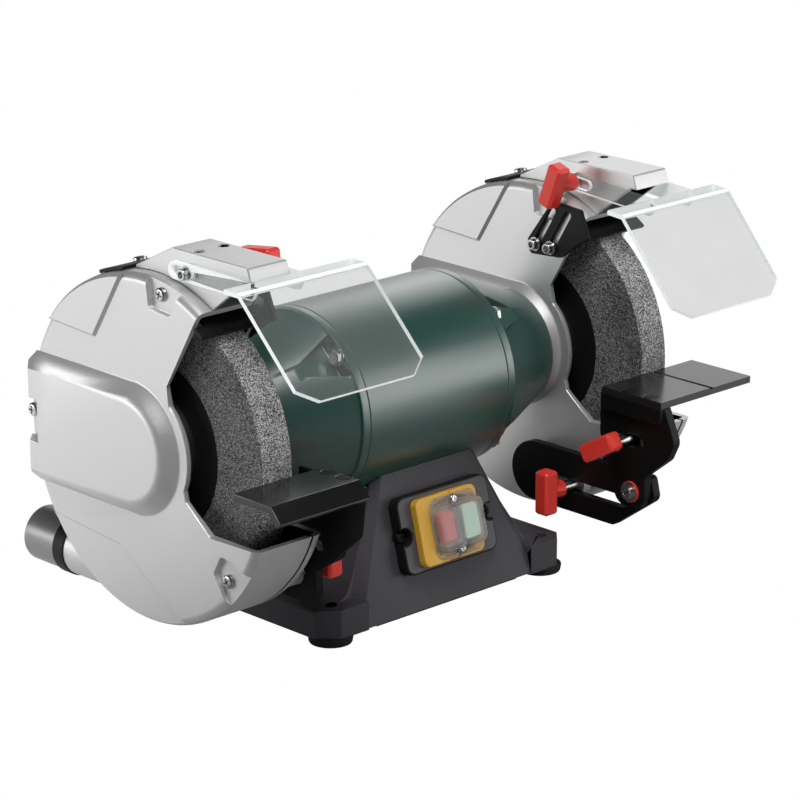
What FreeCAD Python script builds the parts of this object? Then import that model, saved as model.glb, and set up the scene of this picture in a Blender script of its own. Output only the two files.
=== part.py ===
import FreeCAD, Part
import math
import os
import Sketcher
from FreeCAD import Placement, Rotation, Vector
from types import SimpleNamespace

# Driving sizes in millimetres and degrees: name, value, meaning
driving = [
    ("axis_height", 140.5, "spindle axis above the bench"),
    ("wheel_spread", 174.5, "wheel centre from the middle of the motor"),
    ("wheel_radius", 100, "grinding wheel"),
    ("wheel_width", 25, "grinding wheel"),
    ("wheel_bore", 16, "radius of the wheel's hole"),
    ("blotter_radius", 57, "paper disc on each wheel side"),
    ("blotter_thick", 0.8, "paper disc"),
    ("slip_fit", 0.05, "radial clearance of a bore on its shaft"),
    ("run_gap", 0.3, "clearance between moving faces"),
    ("seat_gap", 0.1, "clearance between fixed castings"),
    ("core_seat", 14, "shaft radius under the rotor core"),
    ("shoulder_radius", 12.5, "shaft radius inside the bearings"),
    ("bearing_seat", 10, "shaft radius in the bearings"),
    ("wheel_seat", 8, "shaft radius under the wheel flanges"),
    ("shaft_over", 32.5, "shaft end beyond the wheel centre"),
    ("rotor_radius", 36, "rotor core"),
    ("air_gap", 0.6, "rotor to stator"),
    ("core_length", 76, "rotor and stator stacks"),
    ("end_ring", 9, "cast ring on each rotor end"),
    ("winding_length", 17, "winding head beyond the stack"),
    ("winding_wall", 14, "winding head, radial"),
    ("housing_radius", 68, "motor body"),
    ("housing_wall", 10.5, "motor body"),
    ("housing_half", 64, "half length of the motor body"),
    ("bell_flange", 7, "full-radius ring on each end bell"),
    ("bell_tip", 41, "end bell radius at the guard"),
    ("bell_cone", 9, "straight end of the end bell"),
    ("bearing_start", 100, "bearing from the middle"),
    ("bearing_width", 14, "bearing"),
    ("bearing_radius", 23.5, "bearing outside"),
    ("race_wall", 4.2, "bearing rings"),
    ("ball_radius", 3.9, "bearing ball"),
    ("ball_count", 8, "balls in a bearing"),
    ("tie_inset", 5.5, "end bell screws inside the motor's radius"),
    ("tie_radius", 3, "end bell screw"),
    ("tie_head", 5.6, "end bell screw head, to its corners"),
    ("tie_head_height", 5, "end bell screw head"),
    ("tie_length", 18, "end bell screw below its head"),
    ("screw_fit", 0.1, "radial clearance of a screw in its hole"),
    ("pocket_half", 16, "half width of an end bell pocket"),
    ("pocket_reach", 37, "length of an end bell pocket"),
    ("pocket_sink", 13.5, "end bell pocket's floor below the motor's radius"),
    ("flange_radius", 37, "wheel flange"),
    ("flange_thick", 6.5, "wheel flange"),
    ("flange_hub", 11, "flange spigot in the wheel"),
    ("nut_across", 24, "spindle nut across flats"),
    ("nut_height", 10, "spindle nut"),
    ("guard_radius", 116, "wheel guard"),
    ("guard_wall", 4, "wheel guard"),
    ("guard_half", 28.5, "guard face from the wheel centre"),
    ("cup_depth", 47, "deep half of a guard"),
    ("guard_seam", 1, "dark gap between the guard halves"),
    ("guard_forward", 3, "guard centre in front of the axis"),
    ("guard_round", 6, "rounded rim of a guard"),
    ("pad_rise", 10, "raised pad on a guard face"),
    ("pad_half", 44.5, "half height of the pad"),
    ("pad_inset", 10, "slope of the pad's sides"),
    ("pad_centre", 5.5, "pad's round end behind the axis"),
    ("pad_short", 15, "rear end of the pad inside the guard's radius"),
    ("notch_half", 14.5, "half height of the notch in the pad"),
    ("notch_deep", 8, "depth of the notch in the pad"),
    ("hub_radius", 46, "guard round the spindle at the opening"),
    ("guard_boss", 5.2, "screw post in a guard"),
    ("guard_screw", 2.5, "guard screw"),
    ("pan_head", 4.8, "guard screw head"),
    ("pan_height", 2.8, "guard screw head"),
    ("recess_backing", 21, "thick disc behind a screw recess"),
    ("pocket_deep", 4, "screw recess in a guard face"),
    ("facet_rise", 2, "raised wedge on a guard face"),
    ("panel_deep", 1.5, "sunk lower panel of a guard face"),
    ("mount_pitch", 20.5, "guard to end bell screws from the axis"),
    ("mount_bore", 14, "shaft hole in a guard"),
    ("port_radius", 19, "dust port outside"),
    ("port_wall", 2.5, "dust port"),
    ("port_inset", 22, "dust port inside the guard's radius"),
    ("port_start", 35, "dust port inside the guard"),
    ("ring_inset", 28, "black dust ring inside the guard's radius"),
    ("port_ring", 11, "black dust ring length"),
    ("port_over", 14, "dust adapter end beyond the guard's radius"),
    ("port_spigot", 10, "dust adapter inside its stub"),
    ("cap_half", 16.5, "half width of the cap on a guard"),
    ("cap_rise", 19, "cap above the guard"),
    ("cap_wall", 3, "cap"),
    ("cap_hole", 3.25, "hole in the cap"),
    ("cap_hole_half", 10, "half spacing of the cap's holes"),
    ("strap_half", 25, "half width of the black strap"),
    ("strap_thick", 2.5, "black strap"),
    ("strap_start", 68, "strap's rear angle"),
    ("strap_end", 80, "strap's front angle"),
    ("pivot_forward", 40, "shield pivot in front of the axis"),
    ("pivot_over", 6.5, "shield pivot above the guard"),
    ("shield_thick", 3, "clear shield"),
    ("shield_inner", 63.5, "shield edge on the motor side of the wheel centre"),
    ("shield_outer", 42.5, "shield's outer edge from the wheel centre"),
    ("shield_drop", 81, "length of the shield's face"),
    ("shield_angle", 45, "slope of the shield's face"),
    ("crease_forward", 74, "shield crease in front of the pivot"),
    ("strip_start", 60, "shield's cross strip in front of the pivot"),
    ("shield_travel", 12, "shield adjustment"),
    ("right_tilt", 4.5, "right shield lower than the left"),
    ("tab_half", 5.8, "half height of a shield tab"),
    ("tab_gap", 1.2, "shield tab from the cap"),
    ("slot_half", 3.7, "half width of a shield slot"),
    ("bush_radius", 3.6, "shield bush"),
    ("bush_flange", 5.5, "shield bush flange"),
    ("small_stud", 2, "shield stud"),
    ("stud", 4, "rest clamp stud"),
    ("knob_hub", 6.5, "knob hub"),
    ("knob_hub_length", 8, "knob hub"),
    ("knob_stand", 8, "right rest knobs in front of their plates"),
    ("knob_collar", 4, "longer hub of a shield knob"),
    ("wing_length", 30, "knob wing"),
    ("wing_width", 12.5, "knob wing"),
    ("wing_thick", 12.5, "knob wing"),
    ("wing_edge", 1.5, "bevel on a knob wing"),
    ("deflector_radius", 105, "spark deflector inside"),
    ("deflector_thick", 2.5, "spark deflector"),
    ("deflector_angle", 121, "direction in which the deflector slides"),
    ("deflector_front", 126, "deflector's front edge"),
    ("deflector_rear", 108, "deflector's rear edge"),
    ("deflector_open", 121.5, "deflector's full width starts"),
    ("deflector_slot", 30, "length of the deflector's slots"),
    ("deflector_plate", 3, "deflector bracket"),
    ("socket_head", 4.5, "socket bolt head"),
    ("socket_height", 5, "socket bolt head"),
    ("socket_screw", 2.5, "socket bolt"),
    ("right_arm_in", 43.5, "right arm's motor side from the wheel centre"),
    ("left_arm_in", 46.3, "left arm's motor side from the wheel centre"),
    ("arm_thick", 7, "rest arm"),
    ("right_arm_radius", 21.5, "round rear end of the right arm"),
    ("left_arm_radius", 13.8, "round rear end of the left arm"),
    ("arm_behind", 34, "arm behind its knob"),
    ("arm_below", 19, "arm below its knob"),
    ("boss_radius", 8, "clamp boss on a guard"),
    ("stud_depth", 9, "stud in the clamp boss"),
    ("arm_travel", 20, "rest arm outward travel"),
    ("arm_lobe", 9, "arm lobe round the slot knob"),
    ("right_bracket", 7, "right rest bracket"),
    ("left_bracket", 3, "left rest bracket"),
    ("tilt_back", 22, "bracket's slot behind the slot knob, degrees"),
    ("tilt_front", 5, "bracket's slot before the slot knob, degrees"),
    ("pivot_collar", 7.5, "pivot bolt collar"),
    ("collar_thick", 2, "pivot bolt collar"),
    ("pivot_tip", 3.5, "pivot bolt end beyond its collar"),
    ("rest_thick", 5, "tool rest"),
    ("right_rest_top", -4, "right rest above the axis"),
    ("left_rest_top", -2, "left rest above the axis"),
    ("rest_gap", 0.2, "left rest plate from its bracket"),
    ("rest_screw", 2.5, "rest screw"),
    ("rest_screw_length", 12, "rest screw"),
    ("base_drop", 42.5, "base front, top edge below the axis"),
    ("base_low", 6, "base front, bottom edge above the bench"),
    ("base_top_half", 42, "half width of the front's top edge"),
    ("base_low_half", 82, "half width of the front's bottom edge"),
    ("base_top_front", 54, "front's top edge"),
    ("base_low_front", 78, "front's bottom edge"),
    ("base_wall", 6, "base casting"),
    ("slab_half", 114.5, "half length of the base foot"),
    ("slab_front", 79, "half depth of the base foot"),
    ("slab_top", 25.5, "top of the base foot"),
    ("slab_cut", 12.5, "cut corner of the base foot"),
    ("slab_edge", 4, "rounded top edge of the base foot"),
    ("foot_gap", 76.5, "half of the gap between two front feet"),
    ("base_low_cut", 8, "cut corner of the base, bottom"),
    ("base_top_cut", 5, "cut corner of the base, top"),
    ("flare_top", 57.5, "base starts to widen"),
    ("flare_radius", 14, "curve into the base foot"),
    ("foot_height", 5.5, "rubber foot"),
    ("foot_radius", 15.4, "rubber foot"),
    ("foot_x", 98.8, "rubber foot from the middle"),
    ("foot_y", 65.3, "rubber foot from the middle"),
    ("bench_hole", 4.5, "bench bolt hole"),
    ("cavity_half", 58, "half width of the base's hollow"),
    ("saddle_wall", 11, "base under the motor"),
    ("cover_thick", 1.5, "bottom cover"),
    ("cover_x", 66, "half width of the bottom cover"),
    ("cover_y", 75, "half depth of the bottom cover"),
    ("box_x", 1, "switch box centre"),
    ("box_up", 52.5, "switch box centre up the slope"),
    ("box_width", 85, "switch box"),
    ("box_height", 53, "switch box"),
    ("box_thick", 9, "switch box"),
    ("frame_x", -2, "switch frame centre"),
    ("frame_width", 56, "switch frame"),
    ("frame_height", 46, "switch frame"),
    ("frame_thick", 6, "switch frame"),
    ("stop_x", -8, "stop button from the middle"),
    ("start_x", 13.5, "start button from the middle"),
    ("lobe_width", 21, "hood lobe over a button"),
    ("lobe_height", 31, "hood lobe over a button"),
    ("button_width", 15, "button"),
    ("button_height", 23, "button"),
    ("button_proud", 4, "button in front of the frame"),
    ("button_travel", 3, "button"),
    ("stem", 3, "button stem"),
    ("button_taper", 2.5, "stop button narrower at its top"),
    ("frame_notch", 9, "notch in the frame's edge"),
    ("notch_sink", 1.5, "depth of the frame's notches"),
    ("hood_wall", 1.2, "clear switch hood"),
    ("contact_deep", 24, "contact block"),
    ("contact_height", 20, "contact block"),
    ("gland_x", 30, "cord inlet from the middle"),
    ("gland_up", 42, "cord inlet up the back"),
    ("gland_radius", 9, "cord inlet"),
    ("gland_neck", 6, "cord inlet in the wall"),
    ("gland_bore", 4.5, "cord inlet's hole"),
    ("gland_length", 12, "cord inlet behind the wall"),
]

# Sheet with one named cell per size
doc = FreeCAD.newDocument("bench_grinder")
sheet = doc.addObject("Spreadsheet::Sheet", "Sizes")
for row, (alias, value, meaning) in enumerate(driving, start=1):
    sheet.set("A%d" % row, alias)
    sheet.set("B%d" % row, str(value))
    sheet.set("C%d" % row, meaning)
    sheet.setAlias("B%d" % row, alias)
doc.recompute()


class Size:
    """A number that also carries its sheet expression."""

    def __init__(self, number, text):
        self.number = float(number)
        self.text = text

    def __add__(self, other):
        other = as_size(other)
        return Size(self.number + other.number, "(%s + %s)" % (self.text, other.text))

    def __radd__(self, other):
        return as_size(other) + self

    def __sub__(self, other):
        other = as_size(other)
        return Size(self.number - other.number, "(%s - %s)" % (self.text, other.text))

    def __rsub__(self, other):
        return as_size(other) - self

    def __mul__(self, other):
        other = as_size(other)
        return Size(self.number * other.number, "(%s * %s)" % (self.text, other.text))

    def __rmul__(self, other):
        return as_size(other) * self

    def __truediv__(self, other):
        other = as_size(other)
        return Size(self.number / other.number, "(%s / %s)" % (self.text, other.text))

    def __neg__(self):
        return as_size(0) - self

    def __float__(self):
        return self.number


def as_size(value):
    if isinstance(value, Size):
        return value
    return Size(value, "%.6f" % value)


# The same sizes as bound expressions and as plain numbers
s = SimpleNamespace(**{name: Size(getattr(sheet, name), "Sizes." + name) for name, value, note in driving})
v = SimpleNamespace(**{name: float(getattr(sheet, name)) for name, value, note in driving})
nodes = []

# Sizes that follow from others
following = {
    "shaft_end": s.wheel_spread + s.shaft_over,
    "shield_near": s.wheel_spread - s.shield_inner,
    "shield_far": s.wheel_spread + s.shield_outer,
    "right_arm_near": s.wheel_spread - s.right_arm_in,
    "left_arm_near": s.wheel_spread - s.left_arm_in,
    "tie_pitch": s.housing_radius - s.tie_inset,
    "pocket_floor": s.housing_radius - s.pocket_sink,
    "pad_back": s.guard_radius - s.pad_short,
    "port_drop": s.guard_radius - s.port_inset,
    "port_ring_start": s.guard_radius - s.ring_inset,
    "port_end": s.guard_radius + s.port_over,
    "cap_top": s.guard_radius + s.cap_rise,
    "pivot_rise": s.guard_radius + s.pivot_over,
    "base_top": s.axis_height - s.base_drop,
    "cavity_top": s.axis_height - s.housing_radius - s.saddle_wall,
}
for name, size in following.items():
    setattr(s, name, size)
    setattr(v, name, float(size))


# Document objects bound to the sheet
def node(item, label):
    item.Label = label
    nodes.append(item)
    return item


def bind(item, name, size):
    item.setExpression(name, as_size(size).text)


def origin_plane(body, role):
    return [part for part in body.Origin.OriginFeatures if part.Role == role][0]


def outline(body, name, role, points):
    sketch = body.newObject("Sketcher::SketchObject", name)
    sketch.AttachmentSupport = [(origin_plane(body, role), "")]
    sketch.MapMode = "FlatFace"
    spots = [(as_size(across), as_size(up)) for across, up in points]
    corners = [Vector(float(across), float(up), 0) for across, up in spots]
    count = len(corners)
    for i in range(count):
        sketch.addGeometry(Part.LineSegment(corners[i], corners[(i + 1) % count]), False)
    for i in range(count):
        sketch.addConstraint(Sketcher.Constraint("Coincident", i, 2, (i + 1) % count, 1))
    for i, (across, up) in enumerate(spots):
        for kind, size in (("DistanceX", across), ("DistanceY", up)):
            number = sketch.addConstraint(Sketcher.Constraint(kind, -1, 1, i, 1, float(size)))
            sketch.setExpression("Constraints[%d]" % number, size.text)
    return sketch


def turned(name, profile):
    """Solid turned about the spindle axis from (x, radius) points."""
    body = doc.addObject("PartDesign::Body", name)
    sketch = outline(body, name + "_profile", "XZ_Plane", profile)
    spin = body.newObject("PartDesign::Revolution", name + "_turned")
    spin.Profile = sketch
    spin.ReferenceAxis = (sketch, ["H_Axis"])
    spin.Angle = 360
    sketch.Visibility = False
    bind(body, "Placement.Base.z", s.axis_height)
    return body


def tube(name, start, end, bore, radius):
    return turned(name, [(start, bore), (end, bore), (end, radius), (start, radius)])


def group(name, parts):
    item = doc.addObject("Part::Compound", name)
    item.Links = parts
    return item


def shaped(label, shape, spot=None):
    """Node whose shape is worked out below from the sheet's numbers."""
    item = doc.addObject("Part::Feature", label)
    item.Shape = shape
    if spot is not None:
        item.Placement = spot
    return node(item, label)


# Plain geometry in code, always in the (y, z) side view unless said otherwise
def rounded_wire(points, x=0.0):
    """Closed side-view wire through (y, z, corner radius) points."""
    count = len(points)
    edges = []
    ends = []
    for i in range(count):
        y, z, radius = points[i]
        here = Vector(x, y, z)
        before = Vector(x, *points[i - 1][:2]) - here
        after = Vector(x, *points[(i + 1) % count][:2]) - here
        if radius <= 0:
            ends.append((here, None, here))
            continue
        before.normalize()
        after.normalize()
        half = before.getAngle(after) / 2
        reach = radius / math.tan(half)
        middle = before + after
        middle.normalize()
        tip = here + middle * (radius / math.sin(half) - radius)
        ends.append((here + before * reach, tip, here + after * reach))
    for i in range(count):
        start, tip, end = ends[i]
        if tip is not None:
            edges.append(Part.Arc(start, tip, end).toShape())
        following = ends[(i + 1) % count][0]
        if end.distanceToPoint(following) > 1e-6:
            edges.append(Part.makeLine(end, following))
    return Part.Wire(edges)


def prism(points, start, end):
    wire = rounded_wire([tuple(point) + (0,) * (3 - len(point)) for point in points], start)
    return Part.Face(wire).extrude(Vector(end - start, 0, 0))


def pin(radius, start, end, y=0.0, z=0.0):
    low = min(start, end)
    return Part.makeCylinder(radius, abs(end - start), Vector(low, y, z), Vector(1, 0, 0))


def box(x_range, y_range, z_range):
    low = Vector(x_range[0], y_range[0], z_range[0])
    return Part.makeBox(x_range[1] - x_range[0], y_range[1] - y_range[0], z_range[1] - z_range[0], low)


def hexagon(radius, start, end, y=0.0, z=0.0):
    corners = []
    for i in range(6):
        angle = math.radians(60 * i + 30)
        corners.append((y + radius * math.cos(angle), z + radius * math.sin(angle)))
    return prism(corners, start, end)


def polar(radius, angle):
    return radius * math.cos(math.radians(angle)), radius * math.sin(math.radians(angle))


def slot_prism(half, start_spot, end_spot, start, end):
    (ya, za), (yb, zb) = start_spot, end_spot
    length = math.hypot(yb - ya, zb - za)
    oy, oz = -(zb - za) / length * half, (yb - ya) / length * half
    sides = [(ya + oy, za + oz), (ya - oy, za - oz), (yb - oy, zb - oz), (yb + oy, zb + oz)]
    return prism(sides, start, end).fuse([pin(half, start, end, ya, za), pin(half, start, end, yb, zb)])


def arc_band(inner, outer, start_angle, end_angle, start, end, y=0.0, z=0.0):
    """Part of a ring about an X axis between two angles."""
    middle = (start_angle + end_angle) / 2

    def spot(radius, angle):
        across, up = polar(radius, angle)
        return Vector(start, y + across, z + up)

    edges = [
        Part.Arc(spot(inner, start_angle), spot(inner, middle), spot(inner, end_angle)).toShape(),
        Part.makeLine(spot(inner, end_angle), spot(outer, end_angle)),
        Part.Arc(spot(outer, end_angle), spot(outer, middle), spot(outer, start_angle)).toShape(),
        Part.makeLine(spot(outer, start_angle), spot(inner, start_angle)),
    ]
    return Part.Face(Part.Wire(edges)).extrude(Vector(end - start, 0, 0))


def lifted(shape):
    """Shape drawn about the spindle axis, moved to its height."""
    moved = shape.copy()
    moved.translate(Vector(0, 0, v.axis_height))
    return moved


def flipped(shape):
    return shape.mirror(Vector(), Vector(1, 0, 0))


# Rotor: shaft, core, wheels, flanges and nuts
wheel_near = s.wheel_spread - s.wheel_width / 2
wheel_far = s.wheel_spread + s.wheel_width / 2
flange_near = wheel_near - s.blotter_thick - s.flange_thick
flange_far = wheel_far + s.blotter_thick + s.flange_thick
bearing_end = s.bearing_start + s.bearing_width
shaft_half = [
    (s.shaft_end, s.wheel_seat),
    (flange_near, s.wheel_seat),
    (flange_near, s.bearing_seat),
    (s.bearing_start, s.bearing_seat),
    (s.bearing_start, s.shoulder_radius),
    (s.core_length / 2, s.shoulder_radius),
    (s.core_length / 2, s.core_seat),
]
left_steps = [(-x, radius) for x, radius in reversed(shaft_half)]
node(turned("shaft", [(-s.shaft_end, 0), (s.shaft_end, 0)] + shaft_half + left_steps), "shaft")

core_bore = s.core_seat + s.slip_fit
ring_out = s.core_length / 2 + s.end_ring
ring_bore = s.rotor_radius - 12
rotor_profile = [
    (-s.core_length / 2, core_bore),
    (s.core_length / 2, core_bore),
    (s.core_length / 2, ring_bore),
    (ring_out, ring_bore),
    (ring_out, s.rotor_radius - 1),
    (s.core_length / 2, s.rotor_radius - 1),
    (s.core_length / 2, s.rotor_radius),
    (-s.core_length / 2, s.rotor_radius),
    (-s.core_length / 2, s.rotor_radius - 1),
    (-ring_out, s.rotor_radius - 1),
    (-ring_out, ring_bore),
    (-s.core_length / 2, ring_bore),
]
node(turned("rotor_core", rotor_profile), "rotor_core")

hub_fit = s.wheel_bore - s.slip_fit
seat_bore = s.wheel_seat + s.slip_fit
for side, sign in (("left", -1), ("right", 1)):
    wheel = tube(side + "_wheel", sign * wheel_near, sign * wheel_far, s.wheel_bore, s.wheel_radius)
    node(wheel, side + "_wheel")
flanges = []
blotters = []
for side, sign in (("left", -1), ("right", 1)):
    for end, face, out in (("inner", wheel_near, -1), ("outer", wheel_far, 1)):
        seat = face + out * s.blotter_thick
        back = seat + out * s.flange_thick
        spigot = face - out * s.flange_hub
        steps = [
            (sign * back, seat_bore),
            (sign * spigot, seat_bore),
            (sign * spigot, hub_fit),
            (sign * seat, hub_fit),
            (sign * seat, s.flange_radius),
            (sign * back, s.flange_radius),
        ]
        flanges.append(turned(side + "_" + end + "_flange", steps))
        paper = tube(side + "_" + end + "_blotter", sign * face, sign * seat, s.wheel_bore, s.blotter_radius)
        blotters.append(paper)
node(group("flange_set", flanges), "wheel_flanges")
node(group("blotter_set", blotters), "wheel_blotters")

nut_corner = v.nut_across / math.sqrt(3)
nut_start = float(flange_far)
nut = hexagon(nut_corner, nut_start, nut_start + v.nut_height).cut(pin(float(seat_bore), 0, v.shaft_end + 5))
shaped("spindle_nuts", lifted(Part.makeCompound([nut, flipped(nut)])))

# Bearings: rings with ball grooves, and balls
ball_ring = (v.bearing_seat + v.bearing_radius) / 2
bearing_middle = v.bearing_start + v.bearing_width / 2
groove_radius = v.ball_radius + v.slip_fit
groove = Part.makeTorus(ball_ring, groove_radius, Vector(bearing_middle, 0, 0), Vector(1, 0, 0))
inner_ring = pin(v.bearing_seat + v.race_wall, v.bearing_start, float(bearing_end))
inner_ring = inner_ring.cut(pin(v.bearing_seat + v.slip_fit, 0, v.shaft_end)).cut(groove)
outer_ring = pin(v.bearing_radius, v.bearing_start, float(bearing_end))
outer_ring = outer_ring.cut(pin(v.bearing_radius - v.race_wall, 0, v.shaft_end)).cut(groove)
rolling = [inner_ring]
for i in range(int(v.ball_count)):
    ball_y, ball_z = polar(ball_ring, 360 * i / v.ball_count)
    rolling.append(Part.makeSphere(v.ball_radius, Vector(bearing_middle, ball_y, ball_z)))
shaped("bearing_inner_sets", lifted(Part.makeCompound(rolling + [flipped(part) for part in rolling])))
shaped("bearing_outer_rings", lifted(Part.makeCompound([outer_ring, flipped(outer_ring)])))

# Motor body, stator and end bells
housing_bore = s.housing_radius - s.housing_wall
stator_bore = s.rotor_radius + s.air_gap
stator_out = housing_bore - s.slip_fit
node(tube("stator", -s.core_length / 2, s.core_length / 2, stator_bore, stator_out), "stator_core")
winding_in = stator_bore + 2
winding_end = s.core_length / 2 + s.winding_length
heads = []
for side, sign in (("left", -1), ("right", 1)):
    start = sign * s.core_length / 2
    heads.append(tube(side + "_head", start, sign * winding_end, winding_in, winding_in + s.winding_wall))
node(group("winding_heads", heads), "stator_winding")

tie_hole = v.tie_radius + v.screw_fit
bell_face = v.housing_half + v.bell_flange
tie_spots = [polar(v.tie_pitch, angle) for angle in (45, 135, 225, 315)]
mount_spots = [polar(v.mount_pitch, angle) for angle in (45, 135, 225, 315)]
motor_screw_x = 28
motor_screw_length = 18
housing = pin(v.housing_radius, -v.housing_half, v.housing_half)
housing = housing.cut(pin(float(housing_bore), -v.shaft_end, v.shaft_end))
for y, z in tie_spots:
    for sign in (-1, 1):
        tie_tip = bell_face - v.tie_length - 1
        housing = housing.cut(pin(tie_hole, sign * v.housing_half, sign * tie_tip, y, z))
saddle_floor = v.cavity_top - v.axis_height
for sign in (-1, 1):
    spot = Vector(sign * motor_screw_x, 0, saddle_floor)
    housing = housing.cut(Part.makeCylinder(tie_hole, motor_screw_length + 1, spot))
shaped("motor_housing", lifted(housing))

guard_near = v.wheel_spread - v.guard_half
guard_far = v.wheel_spread + v.guard_half
bell_end = guard_near - v.pad_rise
cavity_end = v.bearing_start - 4
seat_end = float(bearing_end)
bell_points = [
    (v.housing_half, v.housing_radius),
    (bell_face, v.housing_radius),
    (bell_face, v.housing_radius - 2),
    (bell_end - v.bell_cone, v.bell_tip + 3),
    (bell_end, v.bell_tip),
    (bell_end, v.bearing_seat + 2),
    (seat_end, v.bearing_seat + 2),
    (seat_end, v.bearing_radius + v.slip_fit),
    (cavity_end, v.bearing_radius + v.slip_fit),
    (cavity_end, v.bearing_radius + 5),
    (v.housing_half + 2, float(housing_bore) - 4),
    (v.housing_half, float(housing_bore) - 4),
]
bell_wire = Part.makePolygon([Vector(x, radius, 0) for x, radius in bell_points + bell_points[:1]])
bell = Part.Face(bell_wire).revolve(Vector(), Vector(1, 0, 0), 360)
pocket_points = [
    Vector(bell_face, -v.pocket_half, v.pocket_floor),
    Vector(bell_face, v.pocket_half, v.pocket_floor),
    Vector(bell_face + v.pocket_reach, 0, v.pocket_floor),
]
pocket_wire = Part.makePolygon(pocket_points + pocket_points[:1])
pocket = Part.Face(pocket_wire).extrude(Vector(0, 0, v.housing_radius))
for angle in (45, 135, 225, 315):
    bell = bell.cut(pocket.copy().rotate(Vector(), Vector(1, 0, 0), angle - 90))
for y, z in tie_spots:
    bell = bell.cut(pin(tie_hole, v.housing_half - 1, bell_face + 1, y, z))
mount_hole = v.guard_screw + v.screw_fit
mount_depth = 12
for y, z in mount_spots:
    bell = bell.cut(pin(mount_hole, bell_end - mount_depth, bell_end + 1, y, z))
shaped("right_end_bell", lifted(bell))
shaped("left_end_bell", lifted(flipped(bell)))

hex_screws = []
for y, z in tie_spots:
    head = hexagon(v.tie_head, bell_face, bell_face + v.tie_head_height, y, z)
    hex_screws.append(head.fuse(pin(v.tie_radius, bell_face - v.tie_length, bell_face, y, z)))
hex_screws += [flipped(screw) for screw in hex_screws]
for sign in (-1, 1):
    head_top = Vector(sign * motor_screw_x, 0, saddle_floor - v.tie_head_height)
    shank = Part.makeCylinder(v.tie_radius, motor_screw_length + v.tie_head_height, head_top)
    hex_screws.append(shank.fuse(Part.makeCylinder(v.tie_head, v.tie_head_height, head_top)))
shaped("hex_screws", lifted(Part.makeCompound(hex_screws)))


# Wheel guards: a deep cup on the left and a shallow lid on the right of each wheel
forward = -v.guard_forward
guard_screw_spots = []
for inset, angle in ((8.6, 99.3), (12, 221.6), (5.5, 1.5)):
    across, up = polar(v.guard_radius - inset, angle)
    guard_screw_spots.append((across + forward, up))
beyond = v.guard_radius + 14
opening = [(-78, 133.5), (-27, 47), (-44, -25), (-66, -42), (-150, -42), (-150, 133.5)]
wedge = [(42, 66), (14, 111), (14, beyond), (beyond, beyond), (beyond, 68.5), (88.5, 68.5)]
low_panel = [(beyond, -64), (84, -64), (22.5, -69), (-39, -107), (-52, -beyond), (beyond, -beyond)]
# Screw recesses of a cup, seen from their screws: each runs out over the rim
recesses = [
    [(12, 25), (12, 12), (9, -10, 3), (-11, -12, 4), (-22, 7), (-30, 25)],
    [(4, 16, 3), (11, 3, 3), (-1, -15), (-16, -30), (-35, -5), (-18, 10), (-8, 14, 4)],
]
lid_depth = 2 * v.guard_half - v.cup_depth - v.guard_seam


def pad_wire(half, back, x):
    front = v.pad_centre
    tip = Vector(x, front - half, 0)
    low, high = Vector(x, front, -half), Vector(x, front, half)
    far_low, far_high = Vector(x, back, -half), Vector(x, back, half)
    edges = [
        Part.Arc(low, tip, high).toShape(),
        Part.makeLine(high, far_high),
        Part.makeLine(far_high, far_low),
        Part.makeLine(far_low, low),
    ]
    return Part.Wire(edges)


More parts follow.
